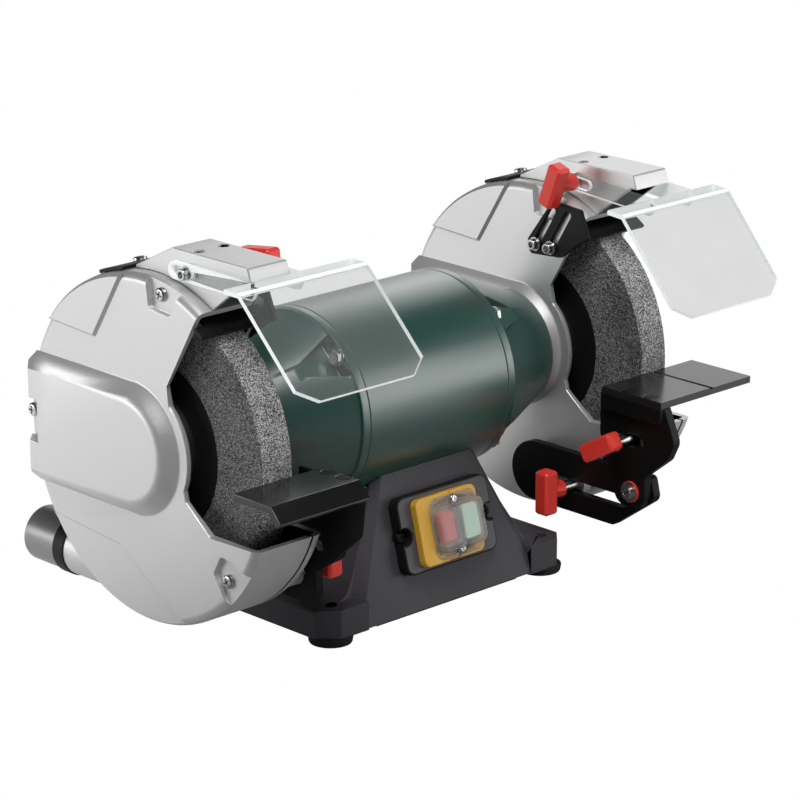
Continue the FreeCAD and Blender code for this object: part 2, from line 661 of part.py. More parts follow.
def guard_half_shape(depth, post_end, recessed):
    """Half guard with its outer face at x = 0, looking towards -X."""
    radius, wall, bend = v.guard_radius, v.guard_wall, v.guard_round
    inner_bend = bend - wall
    lift = 1 - math.sqrt(0.5)
    edges = [
        Part.makeLine(Vector(0, 0, 0), Vector(0, radius - bend, 0)),
        Part.Arc(
            Vector(0, radius - bend, 0),
            Vector(bend * lift, radius - bend * lift, 0),
            Vector(bend, radius, 0),
        ).toShape(),
        Part.makeLine(Vector(bend, radius, 0), Vector(depth, radius, 0)),
        Part.makeLine(Vector(depth, radius, 0), Vector(depth, radius - wall, 0)),
        Part.makeLine(Vector(depth, radius - wall, 0), Vector(bend, radius - wall, 0)),
        Part.Arc(
            Vector(bend, radius - wall, 0),
            Vector(wall + inner_bend * lift, radius - wall - inner_bend * lift, 0),
            Vector(wall, radius - bend, 0),
        ).toShape(),
        Part.makeLine(Vector(wall, radius - bend, 0), Vector(wall, 0, 0)),
        Part.makeLine(Vector(wall, 0, 0), Vector(0, 0, 0)),
    ]
    shell = Part.Face(Part.Wire(edges)).revolve(Vector(), Vector(1, 0, 0), 360)
    shell.translate(Vector(0, forward, 0))
    rim = pin(radius - 1, -50, 50, forward)
    pad_low = pad_wire(v.pad_half, v.pad_back + v.pad_inset, 0)
    pad_high = pad_wire(v.pad_half - v.pad_inset, v.pad_back, -v.pad_rise)
    pad = Part.makeLoft([pad_low, pad_high], True, True).common(rim)
    cave_back = v.pad_back - v.notch_deep - wall
    cave_low = pad_wire(v.pad_half - wall, cave_back, wall)
    cave_high = pad_wire(v.pad_half - v.pad_inset - wall, cave_back, wall - v.pad_rise)
    cave = Part.makeLoft([cave_low, cave_high], True, True)
    facet = prism(wedge, -v.facet_rise, 0).common(rim)
    sunk = prism(low_panel, -1, v.panel_deep)
    notch_reach = (v.pad_back - v.notch_deep, v.guard_radius)
    notch = box((-v.pad_rise - 1, 0), notch_reach, (-v.notch_half, v.notch_half))
    shell = shell.cut(sunk).fuse([pad, facet])
    posts = [pin(v.guard_boss, wall / 2, post_end, y, z) for y, z in guard_screw_spots]
    backing = pin(radius - wall / 2, 0, depth, forward)
    pockets = []
    for (y, z), recess in zip(guard_screw_spots, recesses) if recessed else []:
        thick = pin(v.recess_backing, wall / 2, wall + v.pocket_deep, y, z)
        posts.append(thick.common(backing))
        outline = [(y + spot[0], z + spot[1]) + spot[2:] for spot in recess]
        pockets.append(prism(outline, -5, v.pocket_deep))
    shell = shell.fuse(posts).cut([cave, notch] + pockets)
    mouth = prism(opening, -50, depth + 50).cut(pin(v.hub_radius, -50, depth + 50))
    return shell.cut(mouth)


def screw_holes(shape, start, end):
    return shape.cut([pin(mount_hole, start, end, y, z) for y, z in guard_screw_spots])


def dust_stub(middle):
    start = Vector(middle, v.port_start, -v.port_drop)
    outer = Part.makeCylinder(v.port_radius, v.port_ring_start - v.port_start, start, Vector(0, 1, 0))
    return outer.cut(pin(v.guard_radius - v.guard_wall / 2, -100, 100, forward))


def motor_side(shape):
    """Shaft hole, end bell screw holes and deflector bolt holes of a motor-side half."""
    tools = [pin(v.mount_bore, -20, 20)]
    tools += [pin(mount_hole, -20, 0, y, z) for y, z in mount_spots]
    tools += [pin(v.socket_screw + v.screw_fit, -5, 10, y, z) for y, z in deflector_bolt_spots]
    return shape.cut(tools)


def pan_screw(length):
    """Screw with its head's seat at x = 0 and its shank towards +X."""
    return pin(v.pan_head, -v.pan_height, 0).fuse(pin(v.guard_screw, -1, length))


def set_at(shape, x, y, z):
    copy = shape.copy()
    copy.translate(Vector(x, y, z))
    return copy


def moved(shape, x):
    return set_at(shape, x, 0, 0)


# Black straps behind the caps, each with one screw into the guard
strap_in = v.guard_radius + v.seat_gap
strap_out = strap_in + v.strap_thick
strap_middle = (v.strap_start + v.strap_end) / 2
strap_y, strap_z = polar(strap_out, strap_middle)
strap_turn = Rotation(Vector(1, 0, 0), strap_middle).multiply(Rotation(Vector(0, 0, 1), -90))
strap_spot = Placement(Vector(0, strap_y + forward, strap_z), strap_turn)
strap_reach = strap_out - v.guard_radius + v.guard_wall
strap_screw = pan_screw(strap_reach)
strap_screw.Placement = strap_spot
strap_hole = pin(mount_hole, -1, strap_reach + 1)
strap_hole.Placement = strap_spot
strap = arc_band(strap_in, strap_out, v.strap_start, v.strap_end, -v.strap_half, v.strap_half, forward)
strap = strap.cut(strap_hole)
straps = [moved(strap, -v.wheel_spread), moved(strap, v.wheel_spread)]
shaped("top_straps", lifted(Part.makeCompound(straps)))
pan_screws = [moved(strap_screw, -v.wheel_spread), moved(strap_screw, v.wheel_spread)]

# Guard halves with their ports, posts, clamp bosses and holes
deflector_bolt_spots = [(-16.2, 76), (-30.6, 75.8)]
port_bore = v.port_radius - v.port_wall
bore_start = Vector(v.cup_depth / 2, v.port_start, -v.port_drop)
bore_tool = Part.makeCylinder(port_bore, v.port_end, bore_start, Vector(0, 1, 0))
cup = guard_half_shape(v.cup_depth, v.cup_depth, True).fuse(dust_stub(v.cup_depth / 2)).cut(bore_tool)
cup = screw_holes(cup, -20, v.cup_depth + 5).cut(moved(strap_hole, v.guard_half))
lid = guard_half_shape(lid_depth, lid_depth + v.guard_seam, False)
lid = screw_holes(lid, v.guard_wall - 1, v.cup_depth)

# Places of the rest clamps, from the spindle axis in the side view
clamps = {
    "left": SimpleNamespace(arm=(-72, -81), slot=(-93, -34), pivot=(-97, -56)),
    "right": SimpleNamespace(arm=(-62, -87), slot=(-119, -39), pivot=(-127, -74)),
}
arms = {
    "left": (v.left_arm_near, v.left_arm_near + v.arm_thick),
    "right": (v.right_arm_near, v.right_arm_near + v.arm_thick),
}
brackets = {
    "left": (arms["left"][1] + v.run_gap, arms["left"][1] + v.run_gap + v.left_bracket),
    "right": (arms["right"][0] - v.run_gap - v.right_bracket, arms["right"][0] - v.run_gap),
}


def clamp_boss(shape, side):
    """Threaded boss for the arm knob on a motor-side half, in the half's own frame."""
    y, z = clamps[side].arm
    length = guard_near - arms[side][1] - v.run_gap
    boss = pin(v.boss_radius, -length, v.guard_wall / 2, y, z)
    return shape.fuse(boss).cut(pin(v.stud + v.slip_fit, -length - 1, v.stud_depth - length + 1, y, z))


left_lid = clamp_boss(motor_side(lid), "left")
right_cup = clamp_boss(motor_side(cup), "right")
shaped("left_guard_cup", lifted(moved(cup, -guard_far)))
shaped("left_guard_lid", lifted(moved(flipped(left_lid), -guard_near)))
shaped("right_guard_cup", lifted(moved(right_cup, guard_near)))
shaped("right_guard_lid", lifted(moved(flipped(lid), guard_far)))

cover_reach = v.cup_depth + v.guard_seam + lid_depth - v.guard_wall
for face in (-guard_far, guard_near):
    for number, (y, z) in enumerate(guard_screw_spots):
        seat = v.pocket_deep if number < 2 else 0
        pan_screws.append(set_at(pan_screw(cover_reach - seat), face + seat, y, z))
pad_floor = v.guard_wall - v.pad_rise
for y, z in mount_spots:
    screw = flipped(pan_screw(v.guard_wall + mount_depth - 1))
    screw = set_at(screw, guard_near + pad_floor, y, z)
    pan_screws += [screw, flipped(screw)]

# Dust rings and adapters
backward = Vector(0, 1, 0)
rings = []
adapters = []
for middle in (v.cup_depth / 2 - guard_far, v.cup_depth / 2 + guard_near):
    ring_at = Vector(middle, v.port_ring_start, -v.port_drop)
    ring_end = v.port_ring_start + v.port_ring
    ring = Part.makeCylinder(v.port_radius + 1, v.port_ring, ring_at, backward)
    rings.append(ring.cut(Part.makeCylinder(port_bore, v.port_ring, ring_at, backward)))
    spigot_at = Vector(middle, v.port_ring_start - v.port_spigot, -v.port_drop)
    spigot_length = v.port_ring + v.port_spigot + 1
    spigot = Part.makeCylinder(port_bore - v.slip_fit, spigot_length, spigot_at, backward)
    sleeve_at = Vector(middle, ring_end, -v.port_drop)
    sleeve = Part.makeCylinder(v.port_radius, v.port_end - ring_end, sleeve_at, backward)
    hole = Part.makeCylinder(port_bore - v.port_wall, v.port_end, spigot_at, backward)
    adapters.append(sleeve.fuse(spigot).cut(hole))
shaped("dust_rings", lifted(Part.makeCompound(rings)))
shaped("dust_adapters", lifted(Part.makeCompound(adapters)))

# Caps on the guard tops
cap_under = v.cap_top - v.cap_wall
cap_side = [(15, -18), (-21, 0), (-92, 0), (-95.5, -10), (-90, -10), (-57, -35), (15, -35)]
cap_inside = [(2, -25), (-23, -v.cap_wall), (-90, -v.cap_wall), (-96, -21), (-57, -45), (2, -45)]
cap_side = [(y, z + v.cap_top) for y, z in cap_side]
cap_inside = [(y, z + v.cap_top) for y, z in cap_inside]
drum = pin(strap_in, -v.guard_radius, v.guard_radius, forward)
cap = prism(cap_side, -v.cap_half, v.cap_half)
cap = cap.cut(prism(cap_inside, v.cap_wall - v.cap_half, v.cap_half - v.cap_wall)).cut(drum)
for sign in (-1, 1):
    spot = Vector(sign * v.cap_hole_half, -v.pivot_forward, cap_under - 1)
    cap = cap.cut(Part.makeCylinder(v.cap_hole, v.cap_wall + 2, spot))
cap = cap.cut(pin(v.small_stud + v.screw_fit, -v.cap_half, v.cap_half, -v.pivot_forward, v.pivot_rise))
shaped("left_cap", lifted(moved(cap, -v.wheel_spread)))
shaped("right_cap", lifted(moved(cap, v.wheel_spread)))


# Knobs with a T wing, a hub and a stud towards +X from x = 0
def knob(stud_radius, stud_length, hub_length, turn):
    wing_end = -hub_length
    wing_start = wing_end - v.wing_thick
    half_wide, half_long = v.wing_width / 2, v.wing_length / 2
    box_wing = box((wing_start, wing_end), (-half_wide, half_wide), (-half_long, half_long))
    wing = box_wing.makeChamfer(v.wing_edge, box_wing.Edges)
    body = wing.fuse([pin(v.knob_hub, wing_end - 1, 0), pin(stud_radius, -1, stud_length)])
    return body.rotate(Vector(), Vector(1, 0, 0), turn)


def mirrored_to(side, shape):
    return shape if side == "right" else flipped(shape)


# Shields on their slotted tabs, bushes, outer bolts and knobs
cap_near = v.wheel_spread - v.cap_half
cap_far = v.wheel_spread + v.cap_half
tab_ranges = [
    (cap_near - v.tab_gap - v.shield_thick, cap_near - v.tab_gap),
    (cap_far + v.tab_gap, cap_far + v.tab_gap + v.shield_thick),
]
crease = (-v.crease_forward, v.tab_half)
slope = math.radians(v.shield_angle)
down = (-math.cos(slope), -math.sin(slope))
inward = (math.sin(slope), -math.cos(slope))
foot = (crease[0] + down[0] * v.shield_drop, crease[1] + down[1] * v.shield_drop)
bend_in = v.shield_thick * math.tan(slope / 2)
sheet_side = [
    (-v.strip_start, v.tab_half),
    (crease[0], v.tab_half, 4),
    foot,
    (foot[0] + inward[0] * v.shield_thick, foot[1] + inward[1] * v.shield_thick),
    (crease[0] + bend_in, v.tab_half - v.shield_thick, 1),
    (-v.strip_start, v.tab_half - v.shield_thick),
]
chamfer_across, chamfer_up = 14, 10
slot_ends = ((0, 0), (v.shield_travel, 0))


def shield():
    """Shield about its pivot, with its slots' front ends on the pivot."""
    sheet_part = prism(sheet_side, v.shield_near, v.shield_far)
    corner_low = Vector(0, foot[0], foot[1])
    upward = Vector(0, -down[0], -down[1])
    depth = Vector(0, inward[0], inward[1]) * 10
    for edge, sign in ((v.shield_near, 1), (v.shield_far, -1)):
        corner = corner_low + Vector(edge, 0, 0) - depth * 0.5
        corner = corner - upward * 1 - Vector(sign, 0, 0)
        along = corner + Vector(sign * (chamfer_across + 2), 0, 0)
        rise = corner + upward * (chamfer_up + 2)
        cutter = Part.Face(Part.makePolygon([corner, along, rise, corner])).extrude(depth)
        sheet_part = sheet_part.cut(cutter)
    tabs = []
    for start, end in tab_ranges:
        rear = v.shield_travel
        half = v.tab_half
        tail = pin(half, start, end, rear, 0)
        bar_front = [(-v.strip_start - 8, half), (-v.strip_start, -half)]
        bar = prism([(rear, -half), (rear, half)] + bar_front, start, end)
        tabs.append(bar.fuse(tail))
    sheet_part = sheet_part.fuse(tabs)
    for start, end in tab_ranges:
        sheet_part = sheet_part.cut(slot_prism(v.slot_half, slot_ends[0], slot_ends[1], start - 1, end + 1))
    return sheet_part.removeSplitter()


def at_pivot(shape, slide, tilt):
    copy = shape.copy()
    copy.translate(Vector(0, -slide, 0))
    copy.rotate(Vector(), Vector(1, 0, 0), tilt)
    copy.translate(Vector(0, -v.pivot_forward, v.pivot_rise))
    return copy


flange_gap = 0.2
bushes = []
for (start, end), face in zip(tab_ranges, (cap_near, cap_far)):
    near, far = (end, face) if face > end else (face, start)
    flange_ends = (near + flange_gap, far - flange_gap)
    flange = pin(v.bush_flange, *flange_ends)
    barrel = pin(v.bush_radius, min(start, flange_ends[0]), max(end, flange_ends[1]))
    bushes.append(flange.fuse(barrel).cut(pin(v.small_stud + v.screw_fit, 0, 300)))
bush_pair = Part.makeCompound(bushes)
shield_knob_length = v.shield_thick + v.tab_gap + v.run_gap + v.cap_wall + 2
shield_knob_at = tab_ranges[0][0] - v.run_gap
socket_bolts = []
for side, slide, tilt, turn in (("left", 0, 0, 82), ("right", v.shield_travel, v.right_tilt, 20)):
    shaped(side + "_eye_shield", lifted(mirrored_to(side, at_pivot(shield(), slide, tilt))))
    shaped(side + "_shield_guide", lifted(mirrored_to(side, at_pivot(bush_pair, 0, tilt))))
    wing = knob(v.small_stud, shield_knob_length, v.knob_hub_length + v.knob_collar, turn)
    shaped(side + "_shield_knob", lifted(mirrored_to(side, at_pivot(moved(wing, shield_knob_at), 0, 0))))
    head_at = tab_ranges[1][1] + v.run_gap
    bolt = pin(v.socket_head, head_at, head_at + v.socket_height)
    bolt = bolt.fuse(pin(v.small_stud, cap_far - v.cap_wall - 2, head_at + 1))
    bolt = bolt.cut(hexagon(2.3, head_at + 2, head_at + v.socket_height + 1))
    socket_bolts.append(mirrored_to(side, at_pivot(bolt, 0, 0)))

# Spark deflectors: curved sheet, slotted bracket and two bolts
plate_far = guard_near - v.run_gap
plate_near = plate_far - v.deflector_plate
sheet_lap = 0.5
radial = polar(1, v.deflector_angle)
deflector_out = v.deflector_radius + v.deflector_thick
inside = v.guard_wall + v.pocket_deep + 1
sheet_radii = (v.deflector_radius, deflector_out)
narrow = (guard_near + inside, guard_far - inside)
sheet_back = arc_band(*sheet_radii, v.deflector_rear, v.deflector_open, *narrow)
sheet_front = arc_band(*sheet_radii, v.deflector_open - sheet_lap, v.deflector_front, plate_near, guard_far)
bracket_side = [
    (-31, 109, 2),
    (-58, 107, 2),
    (-66, 88, 2),
    (-57, 83, 3),
    (-40, 70, 5),
    (-10, 68, 4),
    (-8, 78, 4),
]
deflector = sheet_back.fuse([sheet_front, prism(bracket_side, plate_near, plate_far)])
for y, z in deflector_bolt_spots:
    far_end = (y + radial[0] * v.deflector_slot, z + radial[1] * v.deflector_slot)
    slot_half = v.socket_screw + v.run_gap
    deflector = deflector.cut(slot_prism(slot_half, (y, z), far_end, plate_near - 1, plate_far + 1))
    head_at = plate_near - v.run_gap
    bolt = pin(v.socket_head, head_at - v.socket_height, head_at, y, z)
    bolt = bolt.fuse(pin(v.socket_screw, head_at - 1, guard_near + v.guard_wall + 2, y, z))
    bolt = bolt.cut(hexagon(2.3, head_at - v.socket_height - 1, head_at - 2, y, z))
    socket_bolts += [bolt, flipped(bolt)]
deflector = deflector.removeSplitter()
shaped("right_spark_deflector", lifted(deflector))
shaped("left_spark_deflector", lifted(flipped(deflector)))
shaped("socket_bolts", lifted(Part.makeCompound(socket_bolts)))


# Tool rest arms, brackets, plates and their knobs
def arm(side):
    y, z = clamps[side].arm
    near, far = arms[side]
    lobe_y, lobe_z = clamps[side].slot
    rear = y + v.arm_behind
    low = z - v.arm_below
    if side == "right":
        radius = v.right_arm_radius
        high = low + 2 * radius
        front = [(-104, low, 6), (-142, low + 27, 6), (-138, high, 4)]
        lobe = slot_prism(v.arm_lobe, (lobe_y, high), (lobe_y, lobe_z), near, far)
        slot_front = -111
    else:
        radius = v.left_arm_radius
        high = low + 2 * radius
        front = [(-92, low, 10), (-90, high - 2, 4), (-84, high + 8, 4)]
        upper = [(-113, -62, 9), (-113, -14, 9), (-90, -14, 9), (-66, -66, 6), (-64, -80), (-84, -80)]
        lobe = prism(upper, near, far)
        slot_front = -76
    outline_points = [(rear, high), (rear, low)] + front
    shape = prism(outline_points, near, far).fuse([pin(radius, near, far, rear, low + radius), lobe])
    slot_rear = (y + v.arm_travel + 1, z)
    shape = shape.cut(slot_prism(v.stud + v.run_gap, slot_rear, (slot_front, z), near - 1, far + 1))
    for hole_y, hole_z in (clamps[side].slot, clamps[side].pivot):
        shape = shape.cut(pin(v.stud + v.slip_fit, near - 1, far + 1, hole_y, hole_z))
    return shape.removeSplitter()


def tilt_slot(side, start, end):
    """Arc slot round the pivot for the slot knob."""
    (slot_y, slot_z), (pivot_y, pivot_z) = clamps[side].slot, clamps[side].pivot
    reach = math.hypot(slot_y - pivot_y, slot_z - pivot_z)
    middle = math.degrees(math.atan2(slot_z - pivot_z, slot_y - pivot_y))
    half = v.stud + v.run_gap
    before = v.tilt_front if side == "left" else v.tilt_back
    low, high = middle - v.tilt_back, middle + before
    band = arc_band(reach - half, reach + half, low, high, start, end, pivot_y, pivot_z)
    ends = []
    for angle in (low, high):
        across, up = polar(reach, angle)
        ends.append(pin(half, start, end, pivot_y + across, pivot_z + up))
    return band.fuse(ends)


def bracket(side, outline_points, bar):
    near, far = brackets[side]
    pivot_y, pivot_z = clamps[side].pivot
    shape = prism(outline_points, near, far).fuse(bar)
    shape = shape.cut(tilt_slot(side, near - 1, far + 1))
    return shape.cut(pin(v.stud + v.run_gap, near - 1, far + 1, pivot_y, pivot_z)).removeSplitter()


def countersunk(x, y, top):
    """Rest screw with its flat head at the given height."""
    head = Part.makeCone(v.rest_screw, 2 * v.rest_screw, v.rest_screw, Vector(x, y, top - v.rest_screw))
    tip = Vector(x, y, top - v.rest_screw_length)
    return head.fuse(Part.makeCylinder(v.rest_screw, v.rest_screw_length, tip))


def countersink(x, y, top):
    """Hole for a rest screw."""
    fit = v.screw_fit
    cone = Part.makeCone(
        v.rest_screw + fit, 2 * v.rest_screw + fit, v.rest_screw, Vector(x, y, top - v.rest_screw)
    )
    deep = v.rest_screw_length + 1
    return cone.fuse(Part.makeCylinder(v.rest_screw + fit, deep, Vector(x, y, top - deep)))


rest_sides = {
    "left": SimpleNamespace(
        top=v.left_rest_top,
        plate=(-v.wheel_spread - 39.5, -brackets["left"][1] - v.rest_gap),
        side=[
            (-102, 0),
            (-136.5, 0),
            (-146, -10),
            (-142.4, -13.4),
            (-134.4, -v.rest_thick),
            (-102, -v.rest_thick),
        ],
        outline=[(-140, 0), (-136, -34, 5), (-108, -59, 8), (-87, -59, 9), (-79, -34, 9), (-79, 0)],
        bar=(-brackets["left"][1] - 9, -brackets["left"][0], -133, -104),
        screw_x=-brackets["left"][1] - 4.6,
        screw_ys=(-126, -112),
        bar_height=7,
    ),
    "right": SimpleNamespace(
        top=v.right_rest_top,
        plate=(brackets["right"][0] - 3.7, v.wheel_spread + 37.5),
        side=[(-101.5, 0), (-155.5, 0), (-155.5, -v.rest_thick), (-101.5, -v.rest_thick)],
        outline=[
            (-155, 0),
            (-165, -23, 8),
            (-159, -36, 8),
            (-139, -52, 6),
            (-139, -77, 11),
            (-114, -77, 11),
            (-97, -30, 12),
            (-97, 0),
        ],
        bar=(brackets["right"][0] - 3.7, brackets["right"][1], -155, -103),
        screw_x=brackets["right"][0] + 2.3,
        screw_ys=(-141, -122),
        bar_height=11,
    ),
}
groove_half = 1.2
groove_x = v.wheel_spread - 3
for side, rest in rest_sides.items():
    under = rest.top - v.rest_thick
    plate = prism([(y, z + rest.top) for y, z in rest.side], *rest.plate)
    if side == "right":
        groove_floor = rest.top - groove_half
        groove_sides = (groove_x - groove_half, groove_x + groove_half)
        plate = plate.cut(box(groove_sides, (-160, -100), (groove_floor, 0)))
    bar_start, bar_end, bar_front, bar_rear = rest.bar
    bar = box((bar_start, bar_end), (bar_front, bar_rear), (under - rest.bar_height, under))
    mount = [(spot[0], spot[1] + under) + tuple(spot[2:]) for spot in rest.outline]
    holder = mirrored_to(side, bracket(side, mount, mirrored_to(side, bar)))
    rest_screws = []
    for y in rest.screw_ys:
        plate = plate.cut(countersink(rest.screw_x, y, rest.top))
        holder = holder.cut(countersink(rest.screw_x, y, rest.top))
        rest_screws.append(countersunk(rest.screw_x, y, rest.top))
    shaped(side + "_tool_rest", lifted(plate))
    shaped(side + "_rest_bracket", lifted(holder))
    shaped(side + "_rest_screws", lifted(Part.makeCompound(rest_screws)))
    shaped(side + "_rest_arm", lifted(mirrored_to(side, arm(side))))
    stand = v.knob_stand if side == "right" else 0
    arm_seat = arms[side][0] - v.run_gap
    tilt_seat = min(arms[side][0], brackets[side][0]) - v.run_gap
    tilt_reach = max(arms[side][1], brackets[side][1]) - tilt_seat - 1
    arm_reach = v.run_gap + v.arm_thick + v.run_gap + v.stud_depth
    for name, spot, seat, reach, turn in (
        ("arm", clamps[side].arm, arm_seat, arm_reach, 0 if side == "right" else 88),
        ("slot", clamps[side].slot, tilt_seat, tilt_reach, 60 if side == "right" else 90),
    ):
        clamp = set_at(knob(v.stud, reach + stand, v.knob_hub_length, turn), seat - stand, spot[0], spot[1])
        shaped(side + "_" + name + "_knob", lifted(mirrored_to(side, clamp)))
    bolt_tip = -v.collar_thick - v.pivot_tip
    bolt = pin(v.pivot_collar, -v.collar_thick, 0).fuse(pin(v.stud, bolt_tip, tilt_reach))
    bolt = bolt.cut(hexagon(v.stud / 2, bolt_tip - 1, -v.collar_thick))
    bolt = set_at(bolt, tilt_seat, *clamps[side].pivot)
    shaped(side + "_pivot_bolt", lifted(mirrored_to(side, bolt)))


# Base casting: sloped pedestal with cut corners and a flared foot, hollow from below
def rectangle(half_x, half_y, height):
    corners = [(-half_x, -half_y), (half_x, -half_y), (half_x, half_y), (-half_x, half_y)]
    return Part.makePolygon([Vector(x, y, height) for x, y in corners + corners[:1]])


def cut_corners(half_x, half_y, cut):
    corners = []
    for sign_x, sign_y in ((-1, -1), (1, -1), (1, 1), (-1, 1)):
        side_first = [(half_x, half_y - cut), (half_x - cut, half_y)]
        if sign_x * sign_y < 0:
            side_first.reverse()
        corners += [(sign_x * x, sign_y * y) for x, y in side_first]
    return corners


def front_prism(points, half_depth):
    """Front-view outline of (x, z, corner radius) points, deep along Y."""
    shape = prism(points, -half_depth, half_depth)
    return shape.rotate(Vector(), Vector(0, 0, 1), -90)


def up_the_base(low, top, height):
    share = (height - v.base_low) / (v.base_top - v.base_low)
    return low + (top - low) * share


def front_at(height):
    return up_the_base(v.base_low_front, v.base_top_front, height)


def side_at(height):
    return up_the_base(v.base_low_half, v.base_top_half, height)


def cut_at(height):
    return up_the_base(v.base_low_cut, v.base_top_cut, height)


def pedestal_wire(height):
    cut = cut_at(height)
    corners = cut_corners(side_at(height) + cut, front_at(height), cut)
    return Part.makePolygon([Vector(x, y, height) for x, y in corners + corners[:1]])


pedestal_top = v.base_top + 4
pedestal = Part.makeLoft([pedestal_wire(v.base_low), pedestal_wire(pedestal_top)], True, True)
flare_in = side_at(v.slab_top) + cut_at(v.slab_top) + 4
flare_up = side_at(v.flare_top) + cut_at(v.flare_top)
flare_points = [
    (-v.slab_half, v.foot_height),
    (v.slab_half, v.foot_height),
    (v.slab_half, v.slab_top, v.slab_edge),
    (flare_in, v.slab_top, v.flare_radius),
    (flare_up, v.flare_top),
    (-flare_up, v.flare_top),
    (-flare_in, v.slab_top, v.flare_radius),
    (-v.slab_half, v.slab_top, v.slab_edge),
]
flare = front_prism(flare_points, v.slab_front)
slab_limit = Part.Face(
    Part.makePolygon([Vector(x, y, 0) for x, y in cut_corners(v.slab_half, v.slab_front, v.slab_cut) * 2][:9])
)
slab_limit = slab_limit.extrude(Vector(0, 0, pedestal_top))
waist_low = front_at(v.slab_top) - cut_at(v.slab_top)
waist_high = front_at(v.flare_top) - cut_at(v.flare_top)
front_side = [
    (v.slab_front, 0),
    (v.slab_front, v.slab_top),
    (waist_low, v.slab_top),
    (waist_high, v.flare_top),
]
side_points = front_side + [(-y, z) for y, z in reversed(front_side)]
flare = flare.common(slab_limit).common(prism(side_points, -v.slab_half, v.slab_half))
for near, far in ((-v.slab_front, -waist_low), (waist_low, v.slab_front)):
    flare = flare.cut(box((-v.foot_gap, v.foot_gap), (near, far), (0, pedestal_top)))
casting = pedestal.fuse(flare)
hollow = Part.makeLoft(
    [
        rectangle(v.cavity_half, front_at(0) - v.base_wall, 0),
        rectangle(v.cavity_half - 16, front_at(v.cavity_top) - v.base_wall, v.cavity_top),
    ],
    True,
    True,
)
saddle = pin(v.housing_radius + v.seat_gap, -v.slab_half, v.slab_half, 0, v.axis_height)
casting = casting.cut([hollow, saddle])
feet = []
for x in (-v.foot_x, v.foot_x):
    for y in (-v.foot_y, v.foot_y):
        casting = casting.cut(Part.makeCylinder(v.bench_hole, v.axis_height, Vector(x, y, 0)))
        rubber = Part.makeCone(v.foot_radius - 1, v.foot_radius, v.foot_height, Vector(x, y, 0))
        feet.append(rubber.cut(Part.makeCylinder(v.bench_hole, v.foot_height, Vector(x, y, 0))))
shaped("rubber_feet", Part.makeCompound(feet))
for sign in (-1, 1):
    spot = Vector(sign * motor_screw_x, 0, v.cavity_top - 1)
    casting = casting.cut(Part.makeCylinder(tie_hole, v.saddle_wall + 5, spot))

# Bottom cover with its screws
cover_low = v.foot_height - v.cover_thick
cover = box((-v.cover_x, v.cover_x), (-v.cover_y, v.cover_y), (cover_low, v.foot_height))
cover_screw_x = (v.cavity_half + v.cover_x) / 2
cover_screw_y = 46
upright = Rotation(Vector(0, 1, 0), -90)
for x in (-cover_screw_x, cover_screw_x):
    for y in (-cover_screw_y, cover_screw_y):
        spot = Placement(Vector(x, y, cover_low), upright)
        hole = pin(mount_hole, -1, 12)
        hole.Placement = spot
        cover = cover.cut(hole)
        casting = casting.cut(hole)
        screw = pan_screw(10)
        screw.Placement = spot
        screw.translate(Vector(0, 0, -v.axis_height))
        pan_screws.append(screw)
shaped("base_cover", cover)
shaped("pan_head_screws", lifted(Part.makeCompound(pan_screws)))


# Switch on the sloped front: x across, y up the slope, z outwards
def panel(points, start, end):
    return prism(points, start, end).rotate(Vector(), Vector(1, 1, 1), -120)


def plate_points(x, up, width, height, corner):
    low_x, high_x = x - width / 2, x + width / 2
    low_up, high_up = up - height / 2, up + height / 2
    corners = [(low_x, low_up), (high_x, low_up), (high_x, high_up), (low_x, high_up)]
    return [spot + (corner,) for spot in corners]


slope_angle = math.degrees(math.atan2(v.base_top - v.base_low, v.base_low_front - v.base_top_front))
front_spot = Placement(Vector(0, -v.base_low_front, v.base_low), Rotation(Vector(1, 0, 0), slope_angle))
button_xs = {"stop": v.stop_x, "start": v.start_x}
hood_middle = (v.stop_x + v.start_x) / 2
frame_front = v.box_thick + v.frame_thick
stem_end = -v.base_wall - 4
hollow_up = (v.cavity_top - v.base_low) / math.sin(math.radians(slope_angle))
contact_up = hollow_up - v.contact_height / 2 - v.run_gap
box_screw_x = v.box_width / 2 - 3
box_screw_head = 4
box_screw_height = 2.5
ear_thick = 3
ear_radius = 5.5
hood_screw_up = 17
hood_screw_head = 3.4
hood_screw_height = 2
outward = Vector(0, 0, 1)

backplate = panel(plate_points(v.box_x, v.box_up, v.box_width, v.box_height, 7), 0, v.box_thick)
ear_tools = []
box_screws = []
for sign in (-1, 1):
    spot = Vector(v.box_x + sign * box_screw_x, v.box_up, ear_thick)
    ear_tools.append(Part.makeCylinder(ear_radius, v.box_thick, spot, outward))
    tip = spot - Vector(0, 0, ear_thick + v.base_wall)
    ear_tools.append(Part.makeCylinder(mount_hole, ear_thick + v.base_wall + 1, tip, outward))
    shank = Part.makeCylinder(v.guard_screw, ear_thick + v.base_wall, tip, outward)
    box_screws.append(shank.fuse(Part.makeCylinder(box_screw_head, box_screw_height, spot, outward)))
frame = panel(plate_points(v.frame_x, v.box_up, v.frame_width, v.frame_height, 5), v.box_thick, frame_front)
for sign in (-1, 1):
    notch_up = v.box_up + sign * v.frame_height / 2
    notch_points = plate_points(v.frame_x, notch_up, v.frame_notch, v.frame_notch / 2, 1)
    frame = frame.cut(panel(notch_points, frame_front - v.notch_sink, frame_front + 1))
hood_top = frame_front + v.hood_wall
hood_points = plate_points(hood_middle, v.box_up, 2 * v.lobe_width + 2, v.frame_height - 4, 8)
hood = panel(hood_points, frame_front, hood_top)
wall_tools = []
block_tools = []
